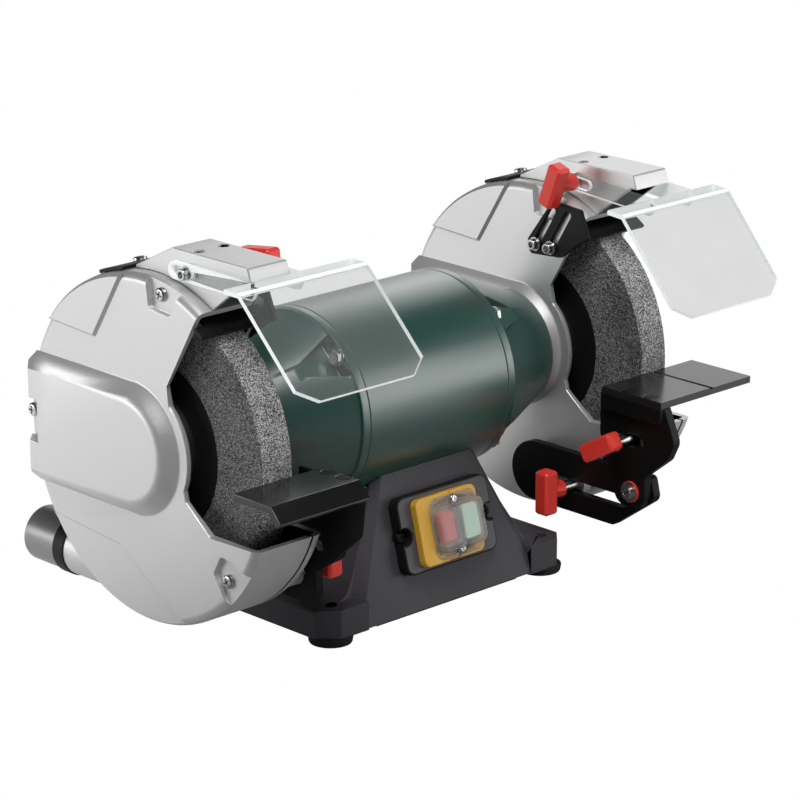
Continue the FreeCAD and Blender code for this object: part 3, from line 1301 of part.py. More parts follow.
for name, x in button_xs.items():
    tall = v.button_proud + 2 if name == "stop" else v.button_proud
    cap_low = v.box_thick + v.button_travel + 1
    cap_points = plate_points(x, v.box_up, v.button_width, v.button_height, 3)
    stem_at = Vector(x, v.box_up, stem_end)
    stem_shape = Part.makeCylinder(v.stem, cap_low - stem_end + 1, stem_at, outward)
    if name == "stop":
        tip_width, tip_height = v.button_width - 2 * v.button_taper, v.button_height - 2 * v.button_taper
        tip_points = plate_points(x, v.box_up, tip_width, tip_height, 1)
        tip_wires = [rounded_wire(cap_points, frame_front), rounded_wire(tip_points, frame_front + tall)]
        tip = Part.makeLoft(tip_wires, True, True).rotate(Vector(), Vector(1, 1, 1), -120)
        button = panel(cap_points, cap_low, frame_front).fuse([tip, stem_shape])
    else:
        button = panel(cap_points, cap_low, frame_front + tall).fuse(stem_shape)
    shaped(name + "_button", button.removeSplitter(), front_spot)
    well_width, well_height = v.button_width + 2 * v.run_gap, v.button_height + 2 * v.run_gap
    well_points = plate_points(x, v.box_up, well_width, well_height, 3)
    frame = frame.cut(panel(well_points, v.box_thick, frame_front + 1))
    stem_hole = Part.makeCylinder(v.stem + v.run_gap, v.axis_height, stem_at - Vector(0, 0, 20), outward)
    wall_tools.append(stem_hole)
    lobe_out = plate_points(x, v.box_up, v.lobe_width, v.lobe_height, 5)
    lobe_in = plate_points(x, v.box_up, v.button_width + 1, v.button_height + 2, 3)
    lobe_height = frame_front + tall + 2
    hood = hood.fuse(panel(lobe_out, frame_front, lobe_height + v.hood_wall))
    block_tools.append(panel(lobe_in, frame_front - 1, lobe_height))
hood = hood.cut(block_tools)
for sign in (-1, 1):
    spot = Vector(hood_middle, v.box_up + sign * hood_screw_up, 0)
    head_seat = spot + Vector(0, 0, hood_top)
    hood = hood.cut(Part.makeCylinder(mount_hole, v.axis_height, spot, outward))
    hood = hood.cut(Part.makeCylinder(hood_screw_head + v.run_gap, v.axis_height, head_seat, outward))
    frame = frame.cut(Part.makeCylinder(mount_hole, v.axis_height, spot, outward))
    tip = spot + Vector(0, 0, v.box_thick)
    shank = Part.makeCylinder(v.guard_screw, hood_top - v.box_thick, tip, outward)
    box_screws.append(shank.fuse(Part.makeCylinder(hood_screw_head, hood_screw_height, head_seat, outward)))
backplate = backplate.cut(ear_tools + wall_tools)
shaped("switch_backplate", backplate, front_spot)
shaped("switch_frame", frame.removeSplitter(), front_spot)
shaped("switch_hood", hood.removeSplitter(), front_spot)
shaped("switch_screws", Part.makeCompound(box_screws), front_spot)
contact_points = plate_points(hood_middle, contact_up, 2 * v.lobe_width, v.contact_height, 2)
contact_front = -v.base_wall - v.seat_gap
contacts = panel(contact_points, contact_front - v.contact_deep, contact_front)
contacts = contacts.cut(wall_tools)
shaped("contact_block", contacts, front_spot)
for tool in wall_tools + ear_tools:
    cutter = tool.copy()
    cutter.Placement = front_spot.multiply(cutter.Placement)
    casting = casting.cut(cutter)

# Cord inlet gland at the back
rear_turn = Rotation(Vector(0, 0, 1), 180).multiply(Rotation(Vector(1, 0, 0), slope_angle))
rear_spot = Placement(Vector(0, v.base_low_front, v.base_low), rear_turn)
at_gland = Vector(-v.gland_x, v.gland_up, 0)
gland_inside = at_gland - Vector(0, 0, v.base_wall)
gland = Part.makeCylinder(v.gland_radius, v.gland_length, at_gland, outward)
gland = gland.fuse(Part.makeCylinder(v.gland_neck, v.gland_length + v.base_wall, gland_inside, outward))
gland = gland.cut(Part.makeCylinder(v.gland_bore, v.axis_height, gland_inside, outward))
shaped("cable_gland", gland, rear_spot)
wall_through = at_gland - Vector(0, 0, 2 * v.base_wall)
gland_hole = Part.makeCylinder(v.gland_neck + v.screw_fit, 4 * v.base_wall, wall_through, outward)
gland_hole.Placement = rear_spot
casting = casting.cut(gland_hole)
shaped("base_casting", casting.removeSplitter())

# Every object is sound before the parts are written
doc.recompute()
for item in doc.Objects:
    if "Invalid" in item.State or "Error" in item.State:
        raise RuntimeError("object in error: " + item.Label)
for item in nodes:
    if item.Shape.isNull() or not item.Shape.isValid() or not item.Shape.Solids:
        raise RuntimeError("shape not sound: " + item.Label)
os.makedirs("parts", exist_ok=True)
for item in nodes:
    item.Shape.exportStep(os.path.join("parts", item.Label + ".step"))
print(len(nodes), "nodes written")
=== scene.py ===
import math

import bpy
import numpy as np
from mathutils import Matrix, Vector


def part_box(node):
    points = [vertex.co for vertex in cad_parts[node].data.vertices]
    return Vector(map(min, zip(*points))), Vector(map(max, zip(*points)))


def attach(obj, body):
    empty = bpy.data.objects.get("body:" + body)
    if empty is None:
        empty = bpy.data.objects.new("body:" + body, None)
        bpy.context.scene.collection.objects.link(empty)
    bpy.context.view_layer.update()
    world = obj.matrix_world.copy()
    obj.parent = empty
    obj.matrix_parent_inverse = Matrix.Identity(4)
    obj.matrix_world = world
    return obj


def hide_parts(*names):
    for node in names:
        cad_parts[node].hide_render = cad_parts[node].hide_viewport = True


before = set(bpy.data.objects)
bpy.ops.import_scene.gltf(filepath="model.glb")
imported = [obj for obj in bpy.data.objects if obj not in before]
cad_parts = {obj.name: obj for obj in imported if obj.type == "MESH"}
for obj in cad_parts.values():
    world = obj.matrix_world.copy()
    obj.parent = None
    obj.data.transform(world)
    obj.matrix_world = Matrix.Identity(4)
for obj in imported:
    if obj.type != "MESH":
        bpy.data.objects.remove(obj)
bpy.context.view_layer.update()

axisHeight = 0.1405  # spindle above the bench
guardForward = 0.003  # guard centre in front of the spindle
mergeGap = 0.00002  # points of a frame copy closer than this become one
flatAngle = 0.4  # degrees between faces that count as one flat face
sharpAngle = 32  # degrees between faces whose edge is rounded


# Selecting and editing
def deselectAll():
    active = bpy.context.view_layer.objects.active
    if active and active.mode != "OBJECT":
        bpy.ops.object.mode_set(mode="OBJECT")
    bpy.ops.object.select_all(action="DESELECT")


def makeActive(piece):
    deselectAll()
    piece.select_set(True)
    bpy.context.view_layer.objects.active = piece


def editMode(piece, kind):
    makeActive(piece)
    bpy.ops.object.mode_set(mode="EDIT")
    bpy.ops.mesh.select_mode(type=kind)


def objectMode():
    bpy.ops.object.mode_set(mode="OBJECT")


def selectWhere(piece, kind, test):
    editMode(piece, kind)
    bpy.ops.mesh.select_all(action="DESELECT")
    objectMode()
    mesh = piece.data
    for item in {"FACE": mesh.polygons, "EDGE": mesh.edges, "VERT": mesh.vertices}[kind]:
        item.select = test(item)
    bpy.ops.object.mode_set(mode="EDIT")


def useModifier(piece, kind, **settings):
    makeActive(piece)
    bpy.ops.object.modifier_add(type=kind)
    modifier = piece.modifiers[-1]
    for name, value in settings.items():
        setattr(modifier, name, value)
    bpy.ops.object.modifier_apply(modifier=modifier.name)


def smoothFaces(piece, angle=40):
    makeActive(piece)
    bpy.ops.object.shade_smooth_by_angle(angle=math.radians(angle))
    useModifier(piece, "WEIGHTED_NORMAL", keep_sharp=True)


def roundEdges(piece, width, steps=2, angle=sharpAngle):
    if width:
        useModifier(
            piece, "BEVEL", width=width, segments=steps, limit_method="ANGLE",
            angle_limit=math.radians(angle), use_clamp_overlap=False,
        )
    smoothFaces(piece)


def cadCopy(node, name):
    piece = bpy.data.objects.new(name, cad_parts[node].data.copy())
    bpy.context.scene.collection.objects.link(piece)
    piece.data.name = name
    piece.data.materials.clear()
    editMode(piece, "VERT")
    bpy.ops.mesh.select_all(action="SELECT")
    bpy.ops.mesh.remove_doubles(threshold=mergeGap)
    bpy.ops.mesh.dissolve_limited(angle_limit=math.radians(flatAngle))
    objectMode()
    bpy.ops.mesh.customdata_custom_splitnormals_clear()
    return piece


def turnRings(name, rings, sides, closed=False):
    # circle at the first height, drawn out ring by ring along Z
    deselectAll()
    height, radius = rings[0]
    bpy.ops.mesh.primitive_circle_add(vertices=sides, radius=radius, location=(0, 0, height))
    piece = bpy.context.object
    piece.name = piece.data.name = name
    bpy.ops.object.transform_apply(location=True, rotation=True, scale=True)
    editMode(piece, "EDGE")
    bpy.ops.mesh.select_all(action="SELECT")
    if not closed:
        bpy.ops.mesh.edge_face_add()
        bpy.ops.mesh.select_all(action="SELECT")
    for nextHeight, nextRadius in rings[1:] + (rings[:1] if closed else []):
        bpy.ops.mesh.extrude_region_move(
            TRANSFORM_OT_translate={"value": (0, 0, nextHeight - height)}
        )
        share = nextRadius / radius
        bpy.ops.transform.resize(value=(share, share, 1), center_override=(0, 0, nextHeight))
        height, radius = nextHeight, nextRadius
    bpy.ops.mesh.select_all(action="SELECT")
    bpy.ops.mesh.remove_doubles(threshold=0.000005)
    bpy.ops.mesh.normals_make_consistent(inside=False)
    objectMode()
    return piece


def addBlock(name, size, centre=(0, 0, 0)):
    deselectAll()
    bpy.ops.mesh.primitive_cube_add(size=1, location=centre)
    piece = bpy.context.object
    piece.name = piece.data.name = name
    piece.scale = size
    bpy.ops.object.transform_apply(location=True, rotation=True, scale=True)
    return piece


def carve(piece, tool, operation="DIFFERENCE"):
    useModifier(piece, "BOOLEAN", object=tool, operation=operation, solver="EXACT")
    bpy.data.objects.remove(tool)


def copyAt(source, name, matrix):
    piece = bpy.data.objects.new(name, source.data.copy())
    bpy.context.scene.collection.objects.link(piece)
    piece.data.transform(matrix)
    return piece


def joinPieces(pieces, name):
    deselectAll()
    for piece in pieces:
        piece.select_set(True)
    bpy.context.view_layer.objects.active = pieces[0]
    if len(pieces) > 1:
        bpy.ops.object.join()
    pieces[0].name = pieces[0].data.name = name
    return pieces[0]


def looseParts(node):
    # points of each separate solid of a node
    piece = cadCopy(node, "loose")
    editMode(piece, "VERT")
    bpy.ops.mesh.select_all(action="SELECT")
    bpy.ops.mesh.separate(type="LOOSE")
    objectMode()
    parts = list(bpy.context.selected_objects)
    clouds = [np.array([vertex.co for vertex in part.data.vertices]) for part in parts]
    for part in parts:
        bpy.data.objects.remove(part)
    return sorted(clouds, key=lambda cloud: tuple(np.round(cloud.mean(0), 4)))


def finishPiece(piece, body, slot, finish, *nodes):
    if finish:
        piece.data.materials.clear()
        piece.data.materials.append(finish)
    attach(piece, body)
    if nodes:
        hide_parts(*nodes)
    return piece


# Shader values written as sums and products
class Wire:
    def __init__(self, socket):
        self.socket = socket

    def calc(self, operation, first, second):
        tree = self.socket.id_data
        return addNode(tree, "ShaderNodeMath", {"operation": operation}, {0: first, 1: second})

    def __add__(self, other):
        return self.calc("ADD", self, other)

    def __radd__(self, other):
        return self.calc("ADD", other, self)

    def __sub__(self, other):
        return self.calc("SUBTRACT", self, other)

    def __rsub__(self, other):
        return self.calc("SUBTRACT", other, self)

    def __mul__(self, other):
        return self.calc("MULTIPLY", self, other)

    def __rmul__(self, other):
        return self.calc("MULTIPLY", other, self)


def addNode(tree, kind, settings=None, sockets=None, output=0):
    node = tree.nodes.new(kind)
    for name, value in (settings or {}).items():
        if name == "stops":
            ramp = node.color_ramp
            while len(ramp.elements) < len(value):
                ramp.elements.new(0.5)
            for stop, (place, shade) in zip(ramp.elements, value):
                stop.position = place
                stop.color = shade
        else:
            setattr(node, name, value)
    for name, value in (sockets or {}).items():
        if isinstance(value, Wire):
            tree.links.new(value.socket, node.inputs[name])
        else:
            node.inputs[name].default_value = value
    return Wire(node.outputs[output])


class Finish:
    def __init__(self, name):
        self.material = bpy.data.materials.new(name)
        self.material.use_nodes = True
        self.tree = self.material.node_tree
        self.tree.nodes.clear()
        self.place = self.node("ShaderNodeTexCoord", output=3)

    def node(self, kind, settings=None, sockets=None, output=0):
        return addNode(self.tree, kind, settings, sockets, output)

    def noise(self, scale, detail):
        values = {"Vector": self.place, "Scale": scale, "Detail": detail}
        return self.node("ShaderNodeTexNoise", None, values)

    def ramp(self, value, stops):
        return self.node("ShaderNodeValToRGB", {"stops": stops}, {0: value})

    def blend(self, share, first, second):
        return self.node("ShaderNodeMix", {"data_type": "RGBA"}, {0: share, 6: first, 7: second}, 2)

    def bump(self, height, depth):
        return self.node("ShaderNodeBump", None, {"Height": height, "Distance": depth, "Strength": 1.0})

    def surface(self, shader):
        output = self.tree.nodes.new("ShaderNodeOutputMaterial")
        self.tree.links.new(shader.socket, output.inputs["Surface"])
        return self.material

    def principled(self, **sockets):
        named = {name.replace("_", " "): value for name, value in sockets.items()}
        return self.node("ShaderNodeBsdfPrincipled", None, named)


def grey(level):
    return (level, level, level, 1)


# Painted and moulded surfaces: two close shades, a fine peel and an uneven gloss
def paintFinish(name, shade, other, rough, roughOther, cloud=9, peel=700, peelDepth=0.00003, speck=0.0,
                metal=0.0, coat=0.0, coatRough=0.12, coatIor=1.5, shine=0.5, glow=0.0):
    finish = Finish(name)
    clouds = finish.noise(cloud, 3)
    colour = finish.blend(clouds, shade, other)
    if speck:
        dots = finish.ramp(finish.noise(2600, 1), [(0.42, grey(0)), (0.62, grey(1))])
        colour = finish.blend(dots * speck, colour, grey(0.9))
    peelNoise = finish.noise(peel, 2)
    gloss = rough + (roughOther - rough) * finish.noise(cloud * 5, 4)
    return finish.surface(finish.principled(
        Base_Color=colour, Roughness=gloss, Metallic=metal, Coat_Weight=coat, Coat_Roughness=coatRough,
        Coat_IOR=coatIor, Specular_IOR_Level=shine, Emission_Color=colour, Emission_Strength=glow,
        Normal=finish.bump(peelNoise, peelDepth),
    ))


silver = paintFinish("silverPaint", grey(0.7), grey(0.75), 0.4, 0.48, peel=900, peelDepth=0.00001,
                     speck=0.1, metal=0.7)
# near-black paint for the inner faces of guards and caps: painted shade inside the cups and channels
paintedShadeInside = paintFinish("paintedShadeInside", grey(0.004), grey(0.008), 0.7, 0.85, shine=0.1)
motorGreen = paintFinish("motorGreen", (0.008, 0.07, 0.053, 1), (0.01, 0.078, 0.059, 1), 0.36, 0.42,
                         peel=600, peelDepth=0.000005, coat=1.0, coatRough=0.3, coatIor=1.75, shine=1.0)
baseBlack = paintFinish("baseBlack", (0.058, 0.055, 0.064, 1), (0.066, 0.062, 0.072, 1), 0.42, 0.55,
                        peel=800, peelDepth=0.00006, shine=0.35)
blackSteel = paintFinish("blackSteel", grey(0.004), grey(0.007), 0.4, 0.5, peel=1100, peelDepth=0.00004,
                         shine=0.2)
restBlack = paintFinish("restBlack", grey(0.012), (0.016, 0.015, 0.017, 1), 0.16, 0.22, peel=1100,
                        peelDepth=0.00001, shine=0.8)
blackPlastic = paintFinish("blackPlastic", grey(0.006), grey(0.01), 0.45, 0.6, peel=1500, peelDepth=0.00003,
                           shine=0.3)
plateGrey = paintFinish("plateGrey", (0.085, 0.081, 0.09, 1), (0.095, 0.091, 0.1, 1), 0.42, 0.52, peel=1500,
                        shine=0.4)
tubeGrey = paintFinish("tubeGrey", grey(0.3), grey(0.34), 0.3, 0.4, peel=900, metal=0.5)
rubber = paintFinish("footRubber", grey(0.008), grey(0.012), 0.75, 0.9, peel=1800, peelDepth=0.00005)
knobRed = paintFinish("knobRed", (0.93, 0.055, 0.04, 1), (0.88, 0.048, 0.035, 1), 0.3, 0.4, peel=1300)
stopRed = paintFinish("stopRed", (0.82, 0.05, 0.045, 1), (0.76, 0.04, 0.04, 1), 0.3, 0.4, peel=1300)
startGreen = paintFinish("startGreen", (0.6, 0.92, 0.68, 1), (0.64, 0.94, 0.72, 1), 0.3, 0.4, peel=1300)
frameYellow = paintFinish("frameYellow", (0.72, 0.4, 0.03, 1), (0.78, 0.44, 0.04, 1), 0.34, 0.44, peel=1300)
paperBlack = paintFinish("paperBlack", grey(0.006), grey(0.01), 0.6, 0.8, peel=2500, peelDepth=0.00003,
                         shine=0.15)


def metalFinish(name, shade, other, rough, roughOther, stretch):
    # fine turning marks across the metal
    finish = Finish(name)
    lines = finish.node("ShaderNodeMapping", None, {"Vector": finish.place, "Scale": stretch})
    marks = finish.node("ShaderNodeTexNoise", None, {"Vector": lines, "Scale": 1, "Detail": 4})
    colour = finish.blend(marks, shade, other)
    gloss = rough + (roughOther - rough) * marks
    return finish.surface(finish.principled(
        Base_Color=colour, Metallic=1.0, Roughness=gloss, Normal=finish.bump(marks, 0.00001),
    ))


brightSteel = metalFinish("brightSteel", grey(0.55), grey(0.7), 0.2, 0.34, (900, 900, 900))
turnedSteel = metalFinish("turnedSteel", grey(0.4), grey(0.55), 0.25, 0.4, (2500, 300, 300))
laminations = metalFinish("laminations", grey(0.2), grey(0.34), 0.35, 0.5, (2000, 60, 60))
copperWire = metalFinish("copperWire", (0.5, 0.2, 0.07, 1), (0.62, 0.28, 0.1, 1), 0.3, 0.45,
                         (400, 1200, 400))


# Wheels: bonded grains, each with its own shade
def grainFinish(name, look):
    finish = Finish(name)
    cells = finish.node("ShaderNodeTexVoronoi", None, {"Vector": finish.place, "Scale": look["grains"]}, 1)
    each = finish.node("ShaderNodeSeparateColor", None, {0: cells})
    fine = finish.noise(look["grains"] * 1.7, 2)
    value = each * 0.6 + fine * 0.4
    patches = finish.noise(look["patches"], 3)
    value = value + (patches - 0.5) * 0.25
    colour = finish.ramp(value, look["shades"])
    return finish.surface(finish.principled(
        Base_Color=colour, Roughness=0.75 + fine * 0.2, Normal=finish.bump(value, look["depth"]),
    ))


rimLook = {
    "grains": 1700,
    "patches": 60,
    "depth": 0.00015,
    "shades": [(0.24, grey(0.03)), (0.43, grey(0.18)), (0.6, grey(0.46)), (0.8, grey(0.9))],
}
# wheel sides: the rim's grain painted much darker, painted shade on the sides
shadedSideLook = {
    "grains": 1500,
    "patches": 30,
    "depth": 0.0001,
    "shades": [(0.22, grey(0.02)), (0.43, grey(0.08)), (0.6, grey(0.18)), (0.82, grey(0.44))],
}
wheelRim = grainFinish("wheelRim", rimLook)
wheelSidePaintedShade = grainFinish("wheelSidePaintedShade", shadedSideLook)


# Clear sheet: a faint milkiness, mirror-like at flat angles
def clearFinish(name, look):
    finish = Finish(name)
    clouds = finish.noise(25, 3)
    sheet = finish.principled(
        Base_Color=look["milk"], Roughness=0.4, Alpha=look["haze"] * (0.85 + clouds * 0.3),
        Specular_IOR_Level=0.0,
    )
    mirror = finish.principled(Base_Color=grey(0.95), Metallic=1.0, Roughness=look["rough"])
    gleam = finish.node("ShaderNodeLayerWeight", None, {"Blend": look["gleam"]})
    return finish.surface(finish.node("ShaderNodeMixShader", None, {0: gleam, 1: sheet, 2: mirror}))


clearSheet = clearFinish("clearSheet", {
    "milk": (0.28, 0.3, 0.295, 1), "haze": 0.19, "rough": 0.04, "gleam": 0.1,
})
# clear hood with a white milky haze over its windows: partly its own haze, partly a painted reflection that
# brightens the buttons beneath
clearHoodWithSheen = clearFinish("clearHoodWithSheen", {
    "milk": (0.75, 0.75, 0.75, 1), "haze": 0.18, "rough": 0.06, "gleam": 0.1,
})
frostedHood = clearFinish("frostedHood", {
    "milk": (0.72, 0.71, 0.69, 1), "haze": 0.22, "rough": 0.2, "gleam": 0.15,
})
# near-white glowing paint for the shields' cut edges: a painted highlight
glowingEdgeHighlight = paintFinish("glowingEdgeHighlight", (0.86, 0.9, 0.9, 1), (0.92, 0.95, 0.95, 1), 0.15, 0.3, glow=0.35)
print("finishes ready")


# Wheel guards: rounded cast halves, their inner faces painted near-black as painted shade
guardShape = {
    "round": 0.0009,
    "wall": 0.0042,
    "facing": 0.5,  # least lean of a face that looks inwards
    "upright": 0.2,  # most lean of an upright step
    "levelGap": 0.00005,
    "rim": 0.1128,  # radius inside the rim
    "outer": 0.117,  # radius outside the rim
    "rimStart": 0.1065,
    "rimDeep": 0.0115,
    "padTop": 0.010,  # raised pad's height
    "padReach": 0.1085,
    "padBack": 0.09,  # the pad's edge stays sharp behind this
    "padSlope": 0.003,
    "stepReach": 0.1156,
    "stepHeight": 0.0025,
    "slopes": {0.002: -0.0019, -0.0015: 0.0014},  # height of a step to the run of its slope
}
# name, direction from the outer face into the guard, place of the outer face
guardHalves = {
    "left_guard_cup": ("leftGuardCup", 1, -0.203),
    "left_guard_lid": ("leftGuardLid", -1, -0.146),
    "right_guard_cup": ("rightGuardCup", 1, 0.146),
    "right_guard_lid": ("rightGuardLid", -1, 0.203),
}


# inner faces of a guard half, the ones that get the painted shade
def isInside(face, inward, outerFace):
    centre, normal = face.center, face.normal
    across = centre.y + guardForward
    up = centre.z - axisHeight
    radius = math.hypot(across, up)
    deep = (centre.x - outerFace) * inward
    towardsAxis = -(normal.y * across + normal.z * up) / max(radius, 0.001)
    facing = guardShape["facing"]
    if normal.x * inward > facing and radius < guardShape["outer"]:
        return True
    return deep > guardShape["wall"] and towardsAxis > facing and radius < guardShape["rim"]


def isLevel(vertex, level, reach):
    across, up = vertex.co.y + guardForward, vertex.co.z - axisHeight
    return abs(vertex.co.x - level) < guardShape["levelGap"] and math.hypot(across, up) < reach


# Upright step of a raised or sunk area turned into a slope: its far edge moves along the wall's normal
def slopeStep(piece, level, far):
    walls = {}
    spots = piece.data.vertices
    for face in piece.data.polygons:
        if abs(face.normal.x) > guardShape["upright"]:
            continue
        here = [i for i in face.vertices if isLevel(spots[i], level, guardShape["stepReach"])]
        tall = max(abs(spots[i].co.x - level) for i in face.vertices)
        isStep = len(here) > 1 and tall < guardShape["stepHeight"]
        for i in here if isStep else []:
            walls.setdefault(i, []).append(face.normal.copy())
    for i, normals in walls.items():
        whole = normals[0] + normals[-1]
        spots[i].co += whole * (2 * far / whole.length_squared)


# Sharp edges are rounded, except where raised areas run out over the rim
def roundGuard(piece, inward, outerFace):
    mesh = piece.data
    beside = {}
    for face in mesh.polygons:
        for key in face.edge_keys:
            beside.setdefault(key, []).append(face.normal.copy())

    def nearRim(vertex):
        across, up = vertex.co.y + guardForward, vertex.co.z - axisHeight
        deep = (vertex.co.x - outerFace) * inward
        return math.hypot(across, up) > guardShape["rimStart"] and deep < guardShape["rimDeep"]

    weights = mesh.attributes.new("bevel_weight_edge", "FLOAT", "EDGE")
    for edge in mesh.edges:
        normals = beside.get(edge.key, [])
        sharp = len(normals) == 2 and normals[0].angle(normals[1], 0) > math.radians(sharpAngle)
        crowded = any(nearRim(mesh.vertices[i]) for i in edge.vertices)
        weights.data[edge.index].value = 1.0 if sharp and not crowded else 0.0
    useModifier(
        piece, "BEVEL", width=guardShape["round"], segments=2, limit_method="WEIGHT",
        use_clamp_overlap=False,
    )
    smoothFaces(piece)


for node, (name, inward, outerFace) in guardHalves.items():
    guard = cadCopy(node, name)
    level = outerFace - inward * guardShape["padTop"]
    spots = guard.data.vertices
    selectWhere(guard, "EDGE", lambda edge: all(
        isLevel(spots[i], level, guardShape["padReach"]) and spots[i].co.y < guardShape["padBack"]
        for i in edge.vertices
    ))
    bpy.ops.mesh.bevel(offset=guardShape["padSlope"], segments=2, clamp_overlap=True)
    objectMode()
    for rise, far in guardShape["slopes"].items():
        slopeStep(guard, outerFace - inward * rise, far)
    roundGuard(guard, inward, outerFace)
    guard.data.materials.append(silver)
    # inner faces get the near-black painted shade
    guard.data.materials.append(paintedShadeInside)
    for face in guard.data.polygons:
        face.material_index = 1 if isInside(face, inward, outerFace) else 0
    finishPiece(guard, "frame", "guard", None, node)
print("guards ready")


# Castings and sheet parts taken over with softer edges
takenOver = {
    "top_straps": ("topStraps", "frame", "black_plastic", blackPlastic, 0.0006),
    "motor_housing": ("motorHousing", "frame", "motor", motorGreen, 0.0007),
    "left_end_bell": ("leftEndBell", "frame", "motor", motorGreen, 0.0010),
    "right_end_bell": ("rightEndBell", "frame", "motor", motorGreen, 0.0010),
    "base_casting": ("baseCasting", "frame", "base", baseBlack, 0.0006),
    "base_cover": ("baseCover", "frame", "base", blackSteel, 0.0004),
    "rubber_feet": ("rubberFeet", "frame", "rubber", rubber, 0.0010),
    "dust_rings": ("dustRings", "frame", "black_plastic", blackPlastic, 0.0008),
    "dust_adapters": ("dustAdapters", "frame", "black_plastic", tubeGrey, 0.0007),
    "cable_gland": ("cableGland", "frame", "black_plastic", blackPlastic, 0.0009),
    "switch_frame": ("switchFrame", "frame", "yellow", frameYellow, 0.0008),
    "contact_block": ("contactBlock", "frame", "black_plastic", blackPlastic, 0.0006),
    "stop_button": ("stopButton", "stop_button", "red", stopRed, 0.0012),
    "start_button": ("startButton", "start_button", "green", startGreen, 0.0007),
    "wheel_blotters": ("wheelBlotters", "rotor", "paper", paperBlack, 0.0),
    "wheel_flanges": ("wheelFlanges", "rotor", "steel", turnedSteel, 0.0006),
    "spindle_nuts": ("spindleNuts", "rotor", "steel", brightSteel, 0.0006),
}
for side in ("left", "right"):
    takenOver.update({
        side + "_tool_rest": (side + "ToolRest", side + "_rest", "black_steel", restBlack, 0.0006),
        side + "_rest_bracket": (side + "RestBracket", side + "_rest", "black_steel", blackSteel, 0.0007),
        side + "_rest_arm": (side + "RestArm", side + "_arm", "black_steel", blackSteel, 0.0007),
        side + "_spark_deflector": (
            side + "SparkDeflector", side + "_deflector", "black_steel", blackSteel, 0.0005
        ),
        side + "_shield_guide": (side + "ShieldGuide", side + "_guide", "steel", brightSteel, 0.0003),
        side + "_rest_screws": (side + "RestScrews", side + "_rest", "black_steel", blackSteel, 0.0003),
    })
for node, (name, body, slot, finish, width) in takenOver.items():
    piece = cadCopy(node, name)
    roundEdges(piece, width)
    finishPiece(piece, body, slot, finish, node)


# Pieces with a second finish on some faces
def twoFinishes(node, name, body, slot, width, first, second, isSecond):
    piece = cadCopy(node, name)
    roundEdges(piece, width)
    piece.data.materials.append(first)
    piece.data.materials.append(second)
    for face in piece.data.polygons:
        face.material_index = 1 if isSecond(face) else 0
    return finishPiece(piece, body, slot, None, node)


capShape = {"round": 0.0011, "aside": 0.1745, "ahead": 0.045, "above": 0.11}
pivotBolt = {"round": 0.0003, "endRadius": 0.0048}
switchPanel = {
    "round": 0.0014,
    "hoodRound": 0.0010,
    "normal": Vector((0, -0.96762, 0.25242)),
    "facing": 0.97,
}
for side, sign in (("left", -1), ("right", 1)):
    # faces towards a point in the channel are its inside, painted near-black as painted shade
    channel = Vector((sign * capShape["aside"], -capShape["ahead"], axisHeight + capShape["above"]))
    twoFinishes(side + "_cap", side + "Cap", "frame", "guard", capShape["round"], silver, paintedShadeInside,
                lambda face: face.normal.dot(face.center - channel) < 0)
    low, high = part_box(side + "_pivot_bolt")
    middle = (low + high) / 2
    twoFinishes(
        side + "_pivot_bolt", side + "PivotBolt", side + "_arm", "steel", pivotBolt["round"],
        brightSteel, knobRed,
        lambda face: math.hypot(face.center.y - middle.y, face.center.z - middle.z) > pivotBolt["endRadius"],
    )
# plate grey on the front faces, black on the side walls: the black sides are painted shade
twoFinishes(
    "switch_backplate", "switchBackplate", "frame", "black_plastic", switchPanel["round"],
    plateGrey, blackPlastic,
    lambda face: face.normal.dot(switchPanel["normal"]) < switchPanel["facing"],
)
print("castings ready")


# Grinding wheels
wheel = {"sides": 192, "bore": 0.016, "edge": 0.0012}
alongX = Matrix.Rotation(math.radians(90), 4, "Y")
for side in ("left", "right"):
    low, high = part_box(side + "_wheel")
    radius, width, edge = (high.y - low.y) / 2, high.x - low.x, wheel["edge"]
    disc = turnRings(side + "Wheel", [
        (0, wheel["bore"]), (0, radius - 2 * edge), (edge * 0.3, radius - edge * 0.6), (edge, radius),
        (width - edge, radius), (width - edge * 0.3, radius - edge * 0.6), (width, radius - 2 * edge),
        (width, wheel["bore"]),
    ], wheel["sides"], closed=True)
    disc.data.transform(Matrix.Translation((low.x, 0, axisHeight)) @ alongX)
    smoothFaces(disc)
    disc.data.materials.append(wheelRim)
    disc.data.materials.append(wheelSidePaintedShade)
    # flat side faces get the darker grain: painted shade
    for face in disc.data.polygons:
        face.material_index = 1 if abs(face.normal.x) > 0.9 else 0
    finishPiece(disc, "rotor", "abrasive", None, side + "_wheel")
print("wheels ready")


# Eye shields whose cut edges are painted near-white and glow: a painted highlight
shieldShape = {"edgeWidth": 0.0045}
for side in ("left", "right"):
    shield = cadCopy(side + "_eye_shield", side + "EyeShield")
    smoothFaces(shield, 30)
    shield.data.materials.append(clearSheet)
    shield.data.materials.append(glowingEdgeHighlight)
    corners = shield.data.vertices
    for face in shield.data.polygons:
        ring = list(face.vertices)
        around = sum((corners[a].co - corners[b].co).length for a, b in zip(ring, ring[1:] + ring[:1]))
        face.material_index = 1 if 2 * face.area / around < shieldShape["edgeWidth"] else 0
    finishPiece(shield, side + "_shield", "clear", None, side + "_eye_shield")
twoFinishes(
    "switch_hood", "switchHood", "frame", "clear", switchPanel["hoodRound"], clearHoodWithSheen, frostedHood,
    lambda face: abs(face.normal.dot(switchPanel["normal"])) < switchPanel["facing"],
)
print("clear sheets ready")


